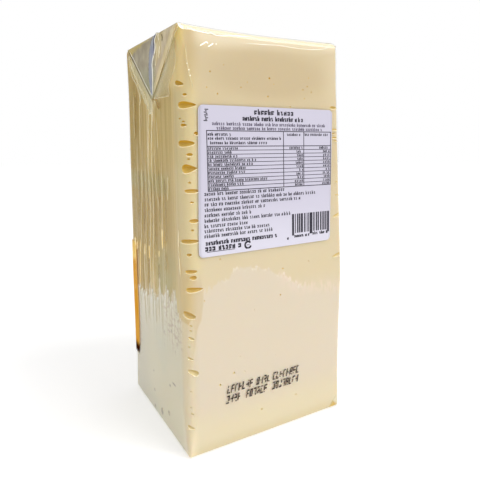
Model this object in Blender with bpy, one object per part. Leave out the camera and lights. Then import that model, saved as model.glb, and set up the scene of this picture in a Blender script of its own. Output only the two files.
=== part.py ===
# Catering block of plant-based mozzarella in a tight clear film pack, standing on its small end.
# Metres, +Z up. The origin is the middle of the base; the label faces -Y.
import math

import bmesh
import bpy
from mathutils import Vector

# ---- driving dimensions ----
HEIGHT_FRONT = 0.2350        # the pack's front top edge, above the base
HEIGHT_BACK = 0.2360         # its back top edge: the top leans a little towards the label

# the pack's four upright edges, in plan, at the base and at the top (x, y)
FOOT_CORNERS = {
    "front_left": (-0.0541, -0.0522),
    "front_right": (0.0528, -0.0516),
    "back_right": (0.0528, 0.0514),
    "back_left": (-0.0538, 0.0514),
}
HEAD_CORNERS = {
    "front_left": (-0.0520, -0.0502),
    "front_right": (0.0490, -0.0490),
    "back_right": (0.0490, 0.0496),
    "back_left": (-0.0507, 0.0496),
}
EDGE_RADIUS = {"front_left": 0.0080, "front_right": 0.0030, "back_right": 0.0060, "back_left": 0.0040}
END_RADIUS = 0.0018          # the upright edges sharpen to this at the base and at the top
END_LENGTH = 0.030           # ... over this height
BELLY = {"front_left": (0.0, 0.0), "front_right": (0.0038, 0.0), "back_right": (0.0038, 0.0008),
         "back_left": (-0.0003, 0.0008)}
BELLY_HEIGHT = 0.39          # where the belly is widest, as a share of the height
BELLY_FALL = 1.6             # how fast it draws in below that

BASE_ROLL = 0.0018           # radius of the rolled edge round the base
TOP_ROLL = 0.0036            # height of the rolled edge round the top, and its depth at the front and back
TOP_ROLL_SIDES = 0.0012      # its depth at the left and right, where the film is folded sharply
SAG = 0.0009                 # dip of the top's long edges between their corners
SAG_SKEW = 0.75              # pulls the dip towards the left end
CROWN_DEPTH = 0.0015         # how far the middle of the top lies below its edges
TOP_ZONE = 0.045             # height over which the top's lean and dip fade out

FILM = 0.0008                # thickness of a folded stack of film
GAP = 0.0004                 # air between two pieces that rest on each other

EAR_HALF_BASE = 0.0440       # a folded ear: its base lies along the top edge
EAR_CENTRE = -0.0020         # and its tip points down, a little towards the label
EAR_TIP = (-0.0060, 0.0350)  # y of the tip, and its depth below the top edge
EAR_DROP = 0.0045            # the ear's flat part starts this far below the top edge
EAR_ROUNDING = 0.0020

SEAL_WIDTH = 0.0090          # the folded seam across the top
SEAL_Y = -0.0070
SEAL_END_MARGIN = 0.0065

LABEL_LEFT = -0.0425
LABEL_RIGHT = 0.0450
LABEL_LOW = 0.1150
LABEL_HIGH = 0.1950
LABEL_RADIUS = 0.0026
LABEL_THICK = 0.0003

EDGE_LABEL_LOW = 0.0330      # a second label comes round the back left edge: its ends
EDGE_LABEL_HIGH = 0.1090
EDGE_LABEL_SIDE = 0.0110     # how far it reaches onto the left face and onto the back
EDGE_LABEL_BACK = 0.0110

# ---- mesh fineness ----
CORNER_STEPS = 6
SIDE_STEPS = 8
BODY_LEVELS = 20
ROLL_STEPS = 4
TOP_RINGS = 4
ROUND_STEPS = 5
EDGE_LABEL_ROWS = 8

ORDER = ("front_left", "front_right", "back_right", "back_left")


def blend(a, b, t):
    return a + (b - a) * t


def smooth(t):
    t = min(max(t, 0.0), 1.0)
    return t * t * (3 - 2 * t)


def belly_shape(t):
    """0 at the base and the top, 1 at the widest height, nearly straight above it."""
    above = (1 - t) / (1 - BELLY_HEIGHT)
    below = (max(t, 0.0) / BELLY_HEIGHT) ** BELLY_FALL
    softness = 0.08
    return -softness * math.log(math.exp(-above / softness) + math.exp(-below / softness))


def plan_corner(name, z):
    """Where one upright edge would be at height z, were it sharp."""
    t = z / HEIGHT_FRONT
    foot, head = FOOT_CORNERS[name], HEAD_CORNERS[name]
    swell = max(belly_shape(t), 0.0)
    return Vector((blend(foot[0], head[0], t) + BELLY[name][0] * swell,
                   blend(foot[1], head[1], t) + BELLY[name][1] * swell))


def edge_radius(name, z):
    from_end = min(z, HEIGHT_FRONT - z) / END_LENGTH
    return blend(END_RADIUS, EDGE_RADIUS[name], smooth(from_end))


def rounded_outline(corners, radii, corner_steps, side_steps):
    """Closed outline through corners of about 90 degrees, counterclockwise, each rounded by its radius."""
    points = []
    count = len(corners)
    for i in range(count):
        here, before, after = corners[i], corners[i - 1], corners[(i + 1) % count]
        to_before = (before - here).normalized()
        to_after = (after - here).normalized()
        centre = here + (to_before + to_after) * radii[i]
        for k in range(corner_steps + 1):
            angle = math.pi / 2 * k / corner_steps
            points.append(centre - to_after * radii[i] * math.cos(angle) - to_before * radii[i] * math.sin(angle))
        start = here + to_after * radii[i]
        end = after - to_after * radii[(i + 1) % count]
        points += [start.lerp(end, k / side_steps) for k in range(1, side_steps)]
    return points


def section(z, inset_sides, inset_faces):
    """The pack's outline at height z, drawn in at the left and right, and at the front and back."""
    sharp = [plan_corner(name, z) for name in ORDER]
    drawn_in = []
    for i in range(4):
        to_before = (sharp[i - 1] - sharp[i]).normalized()
        to_after = (sharp[(i + 1) % 4] - sharp[i]).normalized()
        before, after = (inset_faces, inset_sides) if i % 2 == 0 else (inset_sides, inset_faces)
        drawn_in.append(sharp[i] + to_before * before + to_after * after)
    radii = [max(edge_radius(name, z) - inset_sides, END_RADIUS / 3) for name in ORDER]
    return rounded_outline(drawn_in, radii, CORNER_STEPS, SIDE_STEPS)


def lift(x, y, z):
    """How far the top's lean, its sagging edges and its hollow middle move a point upwards."""
    left, right = HEAD_CORNERS["front_left"][0], HEAD_CORNERS["front_right"][0]
    front, back = HEAD_CORNERS["front_left"][1], HEAD_CORNERS["back_left"][1]
    across = min(max((x - left) / (right - left), 0.0), 1.0)
    along = min(max((y - front) / (back - front), 0.0), 1.0)
    lean = (HEIGHT_BACK - HEIGHT_FRONT) * along
    sag = SAG * math.sin(math.pi * across ** SAG_SKEW) ** 1.5
    crown = CROWN_DEPTH * math.sin(math.pi * across) * math.sin(math.pi * along)
    return (lean - sag - crown) * smooth(1 - (HEIGHT_FRONT - z) / TOP_ZONE)


def raised(x, y, z):
    return (x, y, z + lift(x, y, z))


def side_x(name, y, z):
    """x of the left or right face at (y, z), on the straight between its two upright edges."""
    front, back = plan_corner("front_" + name, z), plan_corner("back_" + name, z)
    return blend(front.x, back.x, (y - front.y) / (back.y - front.y))


def front_y(x, z):
    left, right = plan_corner("front_left", z), plan_corner("front_right", z)
    return blend(left.y, right.y, (x - left.x) / (right.x - left.x))


def material(name, colour, roughness):
    mat = bpy.data.materials.new(name)
    mat.use_nodes = True
    shader = mat.node_tree.nodes["Principled BSDF"]
    shader.inputs["Base Color"].default_value = (*colour, 1)
    shader.inputs["Roughness"].default_value = roughness
    shader.inputs["Metallic"].default_value = 0
    return mat


def finished(name, bm, mat, smooth_angle=None):
    bmesh.ops.recalc_face_normals(bm, faces=bm.faces)
    mesh = bpy.data.meshes.new(name)
    bm.to_mesh(mesh)
    bm.free()
    mesh.materials.append(mat)
    if smooth_angle:
        mesh.shade_smooth()
        mesh.set_sharp_from_angle(angle=math.radians(smooth_angle))
    obj = bpy.data.objects.new(name, mesh)
    bpy.context.scene.collection.objects.link(obj)
    return obj


def joined_rings(bm, rings):
    for low, high in zip(rings, rings[1:]):
        for i in range(len(low)):
            j = (i + 1) % len(low)
            bm.faces.new((low[i], low[j], high[j], high[i]))


def make_block():
    """The whole wrapped block: rings from the base to the top edge, then shrinking rings over the top."""
    levels = []
    for k in range(ROLL_STEPS + 1):
        angle = math.pi / 2 * k / ROLL_STEPS
        inset = BASE_ROLL * (1 - math.sin(angle))
        levels.append((BASE_ROLL * (1 - math.cos(angle)), inset, inset))
    straight = HEIGHT_FRONT - TOP_ROLL - BASE_ROLL
    levels += [(BASE_ROLL + straight * k / BODY_LEVELS, 0.0, 0.0) for k in range(1, BODY_LEVELS)]
    for k in range(ROLL_STEPS + 1):
        angle = math.pi / 2 * k / ROLL_STEPS
        turned = 1 - math.cos(angle)
        levels.append((HEIGHT_FRONT - TOP_ROLL * (1 - math.sin(angle)), TOP_ROLL_SIDES * turned, TOP_ROLL * turned))
    bm = bmesh.new()
    rings = [[bm.verts.new(raised(p.x, p.y, level[0])) for p in section(*level)] for level in levels]
    outline = section(*levels[-1])
    middle = sum(outline, Vector((0, 0))) / len(outline)
    for k in range(1, TOP_RINGS):
        shrunk = [middle.lerp(p, 1 - k / TOP_RINGS) for p in outline]
        rings.append([bm.verts.new(raised(p.x, p.y, HEIGHT_FRONT)) for p in shrunk])
    joined_rings(bm, rings)
    bm.faces.new(reversed(rings[0]))
    peak = bm.verts.new(raised(middle.x, middle.y, HEIGHT_FRONT))
    last = rings[-1]
    for i in range(len(last)):
        bm.faces.new((last[i], last[(i + 1) % len(last)], peak))
    finished("mozzarella_block", bm, material("wrapped cheese", (0.86, 0.74, 0.52), 0.25), 35)


def slab(bm, lower, upper):
    """Closed plate between two outlines with the same number of points."""
    under = [bm.verts.new(p) for p in lower]
    over = [bm.verts.new(p) for p in upper]
    joined_rings(bm, [under, over])
    bm.faces.new(reversed(under))
    bm.faces.new(over)


def blunt(corners, cut):
    """The outline of a polygon with each corner rounded off, cut back by the given length."""
    points = []
    for i, here in enumerate(corners):
        start = here + (corners[i - 1] - here).normalized() * cut
        end = here + (corners[(i + 1) % len(corners)] - here).normalized() * cut
        for k in range(ROUND_STEPS + 1):
            t = k / ROUND_STEPS
            points.append(start.lerp(here, t).lerp(here.lerp(end, t), t))
    return points


def make_ear(name, side):
    """A folded triangle of film lying on one side, below the top edge."""
    outwards = -1 if side == "left" else 1
    base = HEIGHT_FRONT - EAR_DROP
    tip = HEIGHT_FRONT - EAR_TIP[1]
    corners = [Vector((EAR_CENTRE - EAR_HALF_BASE, base)), Vector((EAR_TIP[0], tip)),
               Vector((EAR_CENTRE + EAR_HALF_BASE, base))]
    outline = blunt(corners, EAR_ROUNDING)
    inner = [(side_x(side, p.x, p.y) + outwards * GAP, p.x, p.y) for p in outline]
    outer = [(x + outwards * FILM, y, z) for x, y, z in inner]
    bm = bmesh.new()
    slab(bm, inner, outer)
    finished(name, bm, film)


def make_top_seal():
    """The seam of the film, folded flat across the top from one ear to the other."""
    left = HEAD_CORNERS["front_left"][0] + SEAL_END_MARGIN
    right = HEAD_CORNERS["front_right"][0] - SEAL_END_MARGIN
    stations = 16
    bm = bmesh.new()
    rings = []
    for k in range(stations + 1):
        x = blend(left, right, k / stations)
        ring = []
        for y, up in ((0, 0), (SEAL_WIDTH, 0), (SEAL_WIDTH, FILM), (0, FILM)):
            under = raised(x, SEAL_Y - SEAL_WIDTH / 2 + y, HEIGHT_FRONT)
            ring.append(bm.verts.new((x, under[1], under[2] + GAP + up)))
        rings.append(ring)
    joined_rings(bm, rings)
    bm.faces.new(reversed(rings[0]))
    bm.faces.new(rings[-1])
    finished("top_seal", bm, film)


def make_label():
    """Paper label with round corners, flat on the front face."""
    corners = [Vector((LABEL_LEFT, LABEL_LOW)), Vector((LABEL_RIGHT, LABEL_LOW)),
               Vector((LABEL_RIGHT, LABEL_HIGH)), Vector((LABEL_LEFT, LABEL_HIGH))]
    outline = rounded_outline(corners, [LABEL_RADIUS] * 4, ROUND_STEPS, 1)
    back = [(p.x, front_y(p.x, p.y) - GAP, p.y) for p in outline]
    face = [(x, y - LABEL_THICK, z) for x, y, z in back]
    bm = bmesh.new()
    slab(bm, back, face)
    finished("label", bm, material("label paper", (0.70, 0.67, 0.78), 0.45))


def make_edge_label():
    """The strip of a second label that shows at the back left edge, bent round it."""
    bm = bmesh.new()
    rings = []
    for row in range(EDGE_LABEL_ROWS + 1):
        z = blend(EDGE_LABEL_LOW, EDGE_LABEL_HIGH, row / EDGE_LABEL_ROWS)
        corner = plan_corner("back_left", z)
        to_back = (plan_corner("back_right", z) - corner).normalized()
        to_side = (plan_corner("front_left", z) - corner).normalized()
        radius = edge_radius("back_left", z)
        centre = corner + (to_back + to_side) * radius
        path = [(corner + to_back * EDGE_LABEL_BACK, -to_side)]
        for k in range(CORNER_STEPS + 1):
            angle = math.pi / 2 * k / CORNER_STEPS
            outwards = -to_side * math.cos(angle) - to_back * math.sin(angle)
            path.append((centre + outwards * radius, outwards))
        path.append((corner + to_side * EDGE_LABEL_SIDE, -to_back))
        inner = [bm.verts.new((*(p + n * GAP), z)) for p, n in path]
        outer = [bm.verts.new((*(p + n * (GAP + LABEL_THICK)), z)) for p, n in path]
        rings.append(inner + outer[::-1])
    joined_rings(bm, rings)
    for ring in (rings[0], rings[-1]):
        for i in range(len(ring) // 2 - 1):
            bm.faces.new((ring[i], ring[i + 1], ring[-2 - i], ring[-1 - i]))
    finished("edge_label", bm, material("edge label paper", (0.60, 0.26, 0.04), 0.45), 35)


for old in list(bpy.data.objects):
    bpy.data.objects.remove(old, do_unlink=True)

film = material("clear film", (0.72, 0.72, 0.66), 0.15)
make_block()
make_ear("left_ear", "left")
make_ear("right_ear", "right")
make_top_seal()
make_label()
make_edge_label()
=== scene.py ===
import math
import random

import bmesh
import bpy
import numpy as np
from mathutils import Matrix, Vector, noise


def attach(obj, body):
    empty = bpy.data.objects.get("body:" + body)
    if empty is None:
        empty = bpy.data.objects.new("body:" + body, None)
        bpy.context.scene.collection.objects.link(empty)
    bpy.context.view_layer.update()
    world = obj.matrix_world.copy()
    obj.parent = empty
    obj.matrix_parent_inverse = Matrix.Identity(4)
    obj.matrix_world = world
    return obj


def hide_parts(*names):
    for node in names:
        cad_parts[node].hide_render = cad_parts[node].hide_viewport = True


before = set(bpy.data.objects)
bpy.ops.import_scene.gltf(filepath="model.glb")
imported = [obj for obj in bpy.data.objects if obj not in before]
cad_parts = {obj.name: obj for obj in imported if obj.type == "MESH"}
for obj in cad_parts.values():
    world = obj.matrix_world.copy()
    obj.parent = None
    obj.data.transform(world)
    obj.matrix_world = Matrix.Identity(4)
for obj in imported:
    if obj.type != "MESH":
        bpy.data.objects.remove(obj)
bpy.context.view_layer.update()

mm = 0.001  # sizes below are in millimetres unless they say otherwise


class Wire:  # a socket that can be used in sums; add() makes any node
    def __init__(self, tree, socket=None):
        self.tree = tree
        self.socket = socket

    def add(self, kind, settings=None, inputs=None, output=0):
        node = self.tree.nodes.new(kind)
        for name, value in (settings or {}).items():
            if name == "stops":
                for spare in list(node.color_ramp.elements)[1:]:
                    node.color_ramp.elements.remove(spare)
                node.color_ramp.elements[0].position, node.color_ramp.elements[0].color = value[0]
                for place, colour in value[1:]:
                    node.color_ramp.elements.new(place).color = colour
            else:
                setattr(node, name, value)
        for name, value in (inputs or {}).items():
            if isinstance(value, Wire):
                self.tree.links.new(value.socket, node.inputs[name])
            else:
                node.inputs[name].default_value = value
        return Wire(self.tree, node.outputs[output])

    def maths(self, operation, *values):
        return self.add("ShaderNodeMath", {"operation": operation}, dict(enumerate(values)))

    def __add__(self, other):
        return self.maths("ADD", self, other)

    def __sub__(self, other):
        return self.maths("SUBTRACT", self, other)

    def __rsub__(self, other):
        return self.maths("SUBTRACT", other, self)

    def __mul__(self, other):
        return self.maths("MULTIPLY", self, other)

    def __truediv__(self, other):
        return self.maths("DIVIDE", self, other)

    __radd__ = __add__
    __rmul__ = __mul__

    def step(self, low, high):  # 0 at low, 1 at high, eased; low may be the greater
        return self.add("ShaderNodeMapRange", {"interpolation_type": "SMOOTHSTEP"},
                        {"Value": self, "From Min": low, "From Max": high})

    def mix(self, first, second):  # colours, by this factor
        return self.add("ShaderNodeMix", {"data_type": "RGBA"}, {0: self, 6: first, 7: second}, 2)

    def joined(self, parts):  # geometry
        node = self.tree.nodes.new("GeometryNodeJoinGeometry")
        for part in reversed(parts):
            self.tree.links.new(part.socket, node.inputs[0])
        return Wire(self.tree, node.outputs[0])

    def either(self, other):
        return self.maths("MAXIMUM", self, other)

    def place(self):  # object coordinates as x, y, z, in metres
        spot = self.add("ShaderNodeTexCoord", output="Object")
        return [self.part(spot, axis) for axis in range(3)]

    def part(self, vector, axis):
        return self.add("ShaderNodeSeparateXYZ", None, {0: vector}, axis)

    def profile(self, knots, unit=mm):  # a value read off the line through (place, value) knots
        places, values = zip(*knots)
        start, span = places[0], places[-1] - places[0]
        low, rise = min(values), max(values) - min(values)
        stops = [((place - start) / span, ((value - low) / rise,) * 3 + (1,)) for place, value in knots]
        share = self.add("ShaderNodeValToRGB", {"stops": stops}, {0: (self - start * mm) / (span * mm)})
        return low * unit + (rise * unit) * share

    def tilt(self, axis=2):  # how far the surface looks along an axis, upwards as a rule: -1 to 1
        return self.part(self.add("ShaderNodeTexCoord", output="Normal"), axis)

    def ellipse(self, other, middle, reach):  # 0 in the middle, 1 all round an ellipse, and more outside
        first, second = (self - middle[0]) / reach[0], (other - middle[1]) / reach[1]
        return self.maths("SQRT", first * first + second * second)

    def point(self, x, y, z):
        return self.add("ShaderNodeCombineXYZ", None, {0: x, 1: y, 2: z})

    def speckle(self, spot, scale, detail=2.0, rough=0.5):
        return self.add("ShaderNodeTexNoise", None,
                        {"Vector": spot, "Scale": scale, "Detail": detail, "Roughness": rough})

    def glance(self):  # how much a thin clear film mirrors: 4 % face on, far more at a grazing angle
        facing = self.add("ShaderNodeLayerWeight", None, {"Blend": 0.5}, 1)
        return self.maths("MINIMUM", 0.04 + 0.96 * self.maths("POWER", facing, 5.0), 0.4)

    def bump(self, height, depth, strength=1.0):
        return self.add("ShaderNodeBump", None, {"Height": height, "Distance": depth, "Strength": strength})

    def surface(self, inputs):
        return self.add("ShaderNodeBsdfPrincipled", None, inputs)

    def overClear(self, cover, shader):  # the shader where cover is 1, nothing where it is 0
        clear = self.add("ShaderNodeBsdfTransparent")
        return self.add("ShaderNodeMixShader", None, {0: cover, 1: clear, 2: shader})

    def held(self, title, kind="FLOAT"):  # what each point holds under that title
        return self.add("GeometryNodeInputNamedAttribute", {"data_type": kind}, {"Name": title})

    def anyFrom(self, low, high, seed):  # a random size for each point
        return self.add("FunctionNodeRandomValue", {"data_type": "FLOAT"}, {2: low, 3: high, "Seed": seed}, 1)

    def atPoints(self, points, shape, size, **more):
        inputs = {"Points": points, "Instance": shape, "Scale": size, **more}
        return self.add("GeometryNodeInstanceOnPoints", None, inputs)


def newMaterial(name):
    material = bpy.data.materials.new(name)
    material.use_nodes = True
    material.node_tree.nodes.clear()
    return material, Wire(material.node_tree)


def finished(material, shader):
    output = shader.tree.nodes.new("ShaderNodeOutputMaterial")
    shader.tree.links.new(shader.socket, output.inputs["Surface"])
    return material


def colour(red, green, blue):  # from the 0..255 values that a picture shows, to a shader's linear ones
    def linear(part):
        part = part / 255
        return part / 12.92 if part <= 0.04045 else ((part + 0.055) / 1.055) ** 2.4
    return (linear(red), linear(green), linear(blue), 1)


def meshObject(name, points, faces, material, smoothAngle=40):
    mesh = bpy.data.meshes.new(name)
    mesh.from_pydata((np.asarray(points, dtype=float) * mm).tolist(), [], faces)
    mesh.materials.append(material)
    mesh.shade_smooth()
    mesh.set_sharp_from_angle(angle=math.radians(smoothAngle))
    mesh.validate()
    piece = bpy.data.objects.new(name, mesh)
    bpy.context.scene.collection.objects.link(piece)
    return piece


def turnedOutwards(piece):  # merges doubles and recalculates the normals
    bm = bmesh.new()
    bm.from_mesh(piece.data)
    bmesh.ops.remove_doubles(bm, verts=bm.verts, dist=0.001 * mm)
    bmesh.ops.recalc_face_normals(bm, faces=bm.faces)
    bm.to_mesh(piece.data)
    bm.free()
    return piece


def withModifiersApplied(piece):
    graph = bpy.context.evaluated_depsgraph_get()
    made = bpy.data.meshes.new_from_object(piece.evaluated_get(graph))
    piece.modifiers.clear()
    piece.data = made
    return piece


def holdingPoints(name, points, title, kind, values, edges=()):
    # a mesh of bare points in millimetres, each holding a value under the title
    mesh = bpy.data.meshes.new(name)
    mesh.from_pydata([tuple(part * mm for part in point) for point in points], edges, [])
    store = mesh.attributes.new(title, kind, "POINT")
    store.data.foreach_set("vector" if kind == "FLOAT_VECTOR" else "value", values)
    return mesh


def grown(name, source, tree, values, material):  # runs a geometry node tree on a mesh and keeps a plain mesh
    piece = bpy.data.objects.new(name, source)
    bpy.context.scene.collection.objects.link(piece)
    growth = piece.modifiers.new("growth", "NODES")
    growth.node_group = tree
    values = {"Material": material, **values}
    for item in tree.interface.items_tree:
        if item.item_type == "SOCKET" and item.in_out == "INPUT" and item.name in values:
            growth[item.identifier] = values[item.name]
    return withModifiersApplied(piece)


def newGrowth(name, inputs):  # an empty geometry node tree with named inputs
    tree = bpy.data.node_groups.new(name, "GeometryNodeTree")
    tree.interface.new_socket("Geometry", in_out="INPUT", socket_type="NodeSocketGeometry")
    for title, kind in inputs.items():
        tree.interface.new_socket(title, in_out="INPUT", socket_type="NodeSocket" + kind)
    tree.interface.new_socket("Material", in_out="INPUT", socket_type="NodeSocketMaterial")
    tree.interface.new_socket("Geometry", in_out="OUTPUT", socket_type="NodeSocketGeometry")
    entry = tree.nodes.new("NodeGroupInput")
    return Wire(tree), {socket.name: Wire(tree, socket) for socket in entry.outputs if socket.name}


def endGrowth(wire, geometry, material):
    real = wire.add("GeometryNodeRealizeInstances", None, {0: geometry})
    dressed = wire.add("GeometryNodeSetMaterial", None, {"Geometry": real, "Material": material})
    output = wire.tree.nodes.new("NodeGroupOutput")
    wire.tree.links.new(dressed.socket, output.inputs[0])
    return wire.tree


def gridFaces(rowCount, width, closed=False):  # between rows of points; closed joins the ends of each row
    faces = []
    for r in range(rowCount - 1):
        a, b = r * width, (r + 1) * width
        for i in range(width if closed else width - 1):
            after = (i + 1) % width
            faces.append((a + i, a + after, b + after, b + i))
    return faces


def asPart(piece, node=None):  # there is one body, so every piece rides on root
    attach(piece, "root")
    if node:
        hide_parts(node)


packShape = {  # its corners in plan at the foot and the head, and how it is rounded, swollen and sunk between
    "height": 235.0,
    "leanOfTop": 1.0,
    "foot": {"frontLeft": (-54.1, -52.2), "frontRight": (52.8, -51.6),
             "backRight": (52.8, 51.4), "backLeft": (-53.8, 51.4)},
    "head": {"frontLeft": (-52.0, -50.2), "frontRight": (49.0, -49.0),
             "backRight": (49.0, 49.6), "backLeft": (-50.7, 49.6)},
    "edgeRadius": {"frontLeft": 8.0, "frontRight": 3.0, "backRight": 6.0, "backLeft": 4.0},
    "endRadius": 1.8,
    "endLength": 30.0,
    "belly": {"frontLeft": (0.0, 0.0), "frontRight": (3.8, 0.0),
              "backRight": (3.8, 0.8), "backLeft": (-0.3, 0.8)},
    "bellyHeight": 0.39,
    "bellyFall": 1.6,
    "bellySoftness": 0.08,
    "baseRoll": 1.8,
    "topRoll": 3.6,
    "topRollSides": 1.2,
    "sag": 0.9,
    "sagSkew": 0.75,
    "crown": 1.5,
    "topZone": 45.0,
}
edgeOrder = ("frontLeft", "frontRight", "backRight", "backLeft")
packHeight = packShape["height"]


def blend(a, b, t):
    return a + (b - a) * t


def eased(t):
    t = np.clip(t, 0.0, 1.0)
    return t * t * (3 - 2 * t)


def hump(t, width):  # 1 at 0, falling off smoothly
    return np.exp(-(t / width) ** 2)


def bellyAt(share):  # how far the pack swells at a share of its height: 1 at the widest, 0 at the ends
    softness = packShape["bellySoftness"]
    above = (1 - share) / (1 - packShape["bellyHeight"])
    below = (np.maximum(share, 0.0) / packShape["bellyHeight"]) ** packShape["bellyFall"]
    return np.maximum(-softness * np.log(np.exp(-above / softness) + np.exp(-below / softness)), 0.0)


def cornerAt(edge, z):  # plan position of an upright edge at heights z
    share = np.asarray(z, dtype=float) / packHeight
    foot, head, belly = packShape["foot"][edge], packShape["head"][edge], packShape["belly"][edge]
    swell = bellyAt(share)
    return np.stack([blend(foot[0], head[0], share) + belly[0] * swell,
                     blend(foot[1], head[1], share) + belly[1] * swell], axis=-1)


def edgeRadiusAt(edge, z):
    fromEnd = np.minimum(z, packHeight - z) / packShape["endLength"]
    return blend(packShape["endRadius"], packShape["edgeRadius"][edge], eased(fromEnd))


def liftAt(x, y, z):  # how far the lean, sag and crown of the top move a point up
    (left, front), right = packShape["head"]["frontLeft"], packShape["head"]["frontRight"][0]
    back = packShape["head"]["backLeft"][1]
    across = np.clip((x - left) / (right - left), 0.0, 1.0)
    along = np.clip((y - front) / (back - front), 0.0, 1.0)
    sag = packShape["sag"] * np.sin(np.pi * across ** packShape["sagSkew"]) ** 1.5
    crown = packShape["crown"] * np.sin(np.pi * across) * np.sin(np.pi * along)
    height = packShape["leanOfTop"] * along - sag - crown
    return height * eased(1 - (packHeight - z) / packShape["topZone"])


def unit(vectors):
    return vectors / np.linalg.norm(vectors, axis=-1, keepdims=True)


def edgeFrame(edge, z, insetSides=0.0, insetFaces=0.0):
    # the sharp corner at heights z, drawn in, the two directions away from it, and its radius
    i = edgeOrder.index(edge)
    here, before, after = (cornerAt(edgeOrder[k % 4], z) for k in (i, i - 1, i + 1))
    toBefore, toAfter = unit(before - here), unit(after - here)
    first, second = (insetFaces, insetSides) if i % 2 == 0 else (insetSides, insetFaces)
    here = here + toBefore * np.reshape(first, (-1, 1)) + toAfter * np.reshape(second, (-1, 1))
    radius = np.maximum(edgeRadiusAt(edge, z) - insetSides, packShape["endRadius"] / 3)
    return here, toBefore, toAfter, np.reshape(radius, (-1, 1))


def outlines(z, insetSides, insetFaces, cornerSteps, sideSteps):
    # outlines at heights z: points and outward normals, shaped (heights, points round, 2)
    points, normals = [], []
    frames = [edgeFrame(edge, z, insetSides, insetFaces) for edge in edgeOrder]
    for i, (here, toBefore, toAfter, radius) in enumerate(frames):
        centre = here + (toBefore + toAfter) * radius
        for k in range(cornerSteps + 1):
            angle = math.pi / 2 * k / cornerSteps
            outwards = -(toAfter * math.cos(angle) + toBefore * math.sin(angle))
            points.append(centre + outwards * radius)
            normals.append(unit(outwards))
        nextHere, nextRadius = frames[(i + 1) % 4][0], frames[(i + 1) % 4][3]
        start, end = here + toAfter * radius, nextHere - toAfter * nextRadius
        facing = np.stack([toAfter[:, 1], -toAfter[:, 0]], axis=-1)
        for k in range(1, sideSteps[i]):
            points.append(blend(start, end, k / sideSteps[i]))
            normals.append(facing)
    return np.stack(points, axis=1), np.stack(normals, axis=1)


def packShell(name, settings, relief, material):
    # a closed skin that follows the pack, set in by settings["inset"] and moved along its normals by relief
    rolls, rows = settings["rollSteps"], settings["rows"]
    bend = np.linspace(0, math.pi / 2, rolls + 1)
    low, high = packShape["baseRoll"], packShape["topRoll"]
    body = np.linspace(low, packHeight - high, rows + 1)[1:-1]
    z = np.concatenate([low * (1 - np.cos(bend)), body, packHeight - high * (1 - np.sin(bend))])
    baseInset, turned = low * (1 - np.sin(bend)), 1 - np.cos(bend)
    flat = np.zeros(len(body))
    insetSides = np.concatenate([baseInset, flat, packShape["topRollSides"] * turned])
    insetFaces = np.concatenate([baseInset, flat, packShape["topRoll"] * turned])
    rise = np.concatenate([bend - math.pi / 2, flat, bend])
    plan, facing = outlines(z, insetSides, insetFaces, settings["cornerSteps"], settings["sideSteps"])
    count = plan.shape[1]
    heights = np.repeat(z[:, None], count, axis=1)
    points = np.dstack([plan, heights])
    upwards = np.repeat(np.sin(rise)[:, None], count, axis=1)
    normals = np.dstack([facing * np.cos(rise)[:, None, None], upwards])
    rings, ringNormals = [points], [normals]
    caps = settings["capRings"]
    for bottom in (True, False):
        edge = points[0] if bottom else points[-1]
        middle = edge.mean(axis=0)
        inner = np.stack([blend(edge, middle, (k / caps) ** settings["capSpread"]) for k in range(1, caps)])
        if bottom:
            rings.insert(0, inner[::-1])
            ringNormals.insert(0, np.broadcast_to([0.0, 0.0, -1.0], inner.shape))
        else:
            rings.append(inner)
            ringNormals.append(np.broadcast_to([0.0, 0.0, 1.0], inner.shape))
    points = np.concatenate(rings).reshape(-1, 3)
    normals = np.concatenate(ringNormals).reshape(-1, 3)
    poles = np.array([points[:count].mean(axis=0), points[-count:].mean(axis=0)])
    points = np.vstack([points, poles])
    normals = np.vstack([normals, [[0, 0, -1], [0, 0, 1]]])
    raised = points.copy()
    raised[:, 2] += liftAt(points[:, 0], points[:, 1], points[:, 2])
    raised += normals * (relief(points, normals) - settings["inset"])[:, None]
    bottomPole, topPole, last = len(points) - 2, len(points) - 1, len(points) - 2 - count
    faces = gridFaces(bottomPole // count, count, closed=True)
    faces += [((i + 1) % count, i, bottomPole) for i in range(count)]
    faces += [(last + i, last + (i + 1) % count, topPole) for i in range(count)]
    return meshObject(name, raised, faces, material, settings["smoothAngle"])


def edgePoint(edge, across, z, height, inset=0.0):
    # a point near an upright edge: across runs round the edge from its middle, height stands off the skin
    z = np.atleast_1d(np.asarray(z, dtype=float))
    across = np.broadcast_to(across, z.shape)
    here, toBefore, toAfter, radius = edgeFrame(edge, z)
    radius = radius[:, 0]
    half = math.pi * radius / 4
    angle = math.pi / 4 + np.clip(across, -half, half) / radius
    outwards = -(toAfter * np.cos(angle)[:, None] + toBefore * np.sin(angle)[:, None])
    plan = here + (toBefore + toAfter) * radius[:, None] + outwards * radius[:, None]
    plan = plan + toAfter * np.maximum(across - half, 0)[:, None]
    plan = plan + toBefore * np.maximum(-across - half, 0)[:, None]
    plan = plan + outwards * np.reshape(np.asarray(height) - inset, (-1, 1))
    return np.column_stack([plan, z])


def frontPoint(x, z, height=0.0):  # a point on the label face, standing off by height
    left, right = cornerAt("frontLeft", z), cornerAt("frontRight", z)
    y = blend(left[..., 1], right[..., 1], (x - left[..., 0]) / (right[..., 0] - left[..., 0]))
    return np.stack([np.asarray(x, dtype=float), y - height, np.asarray(z, dtype=float)], axis=-1)


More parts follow.
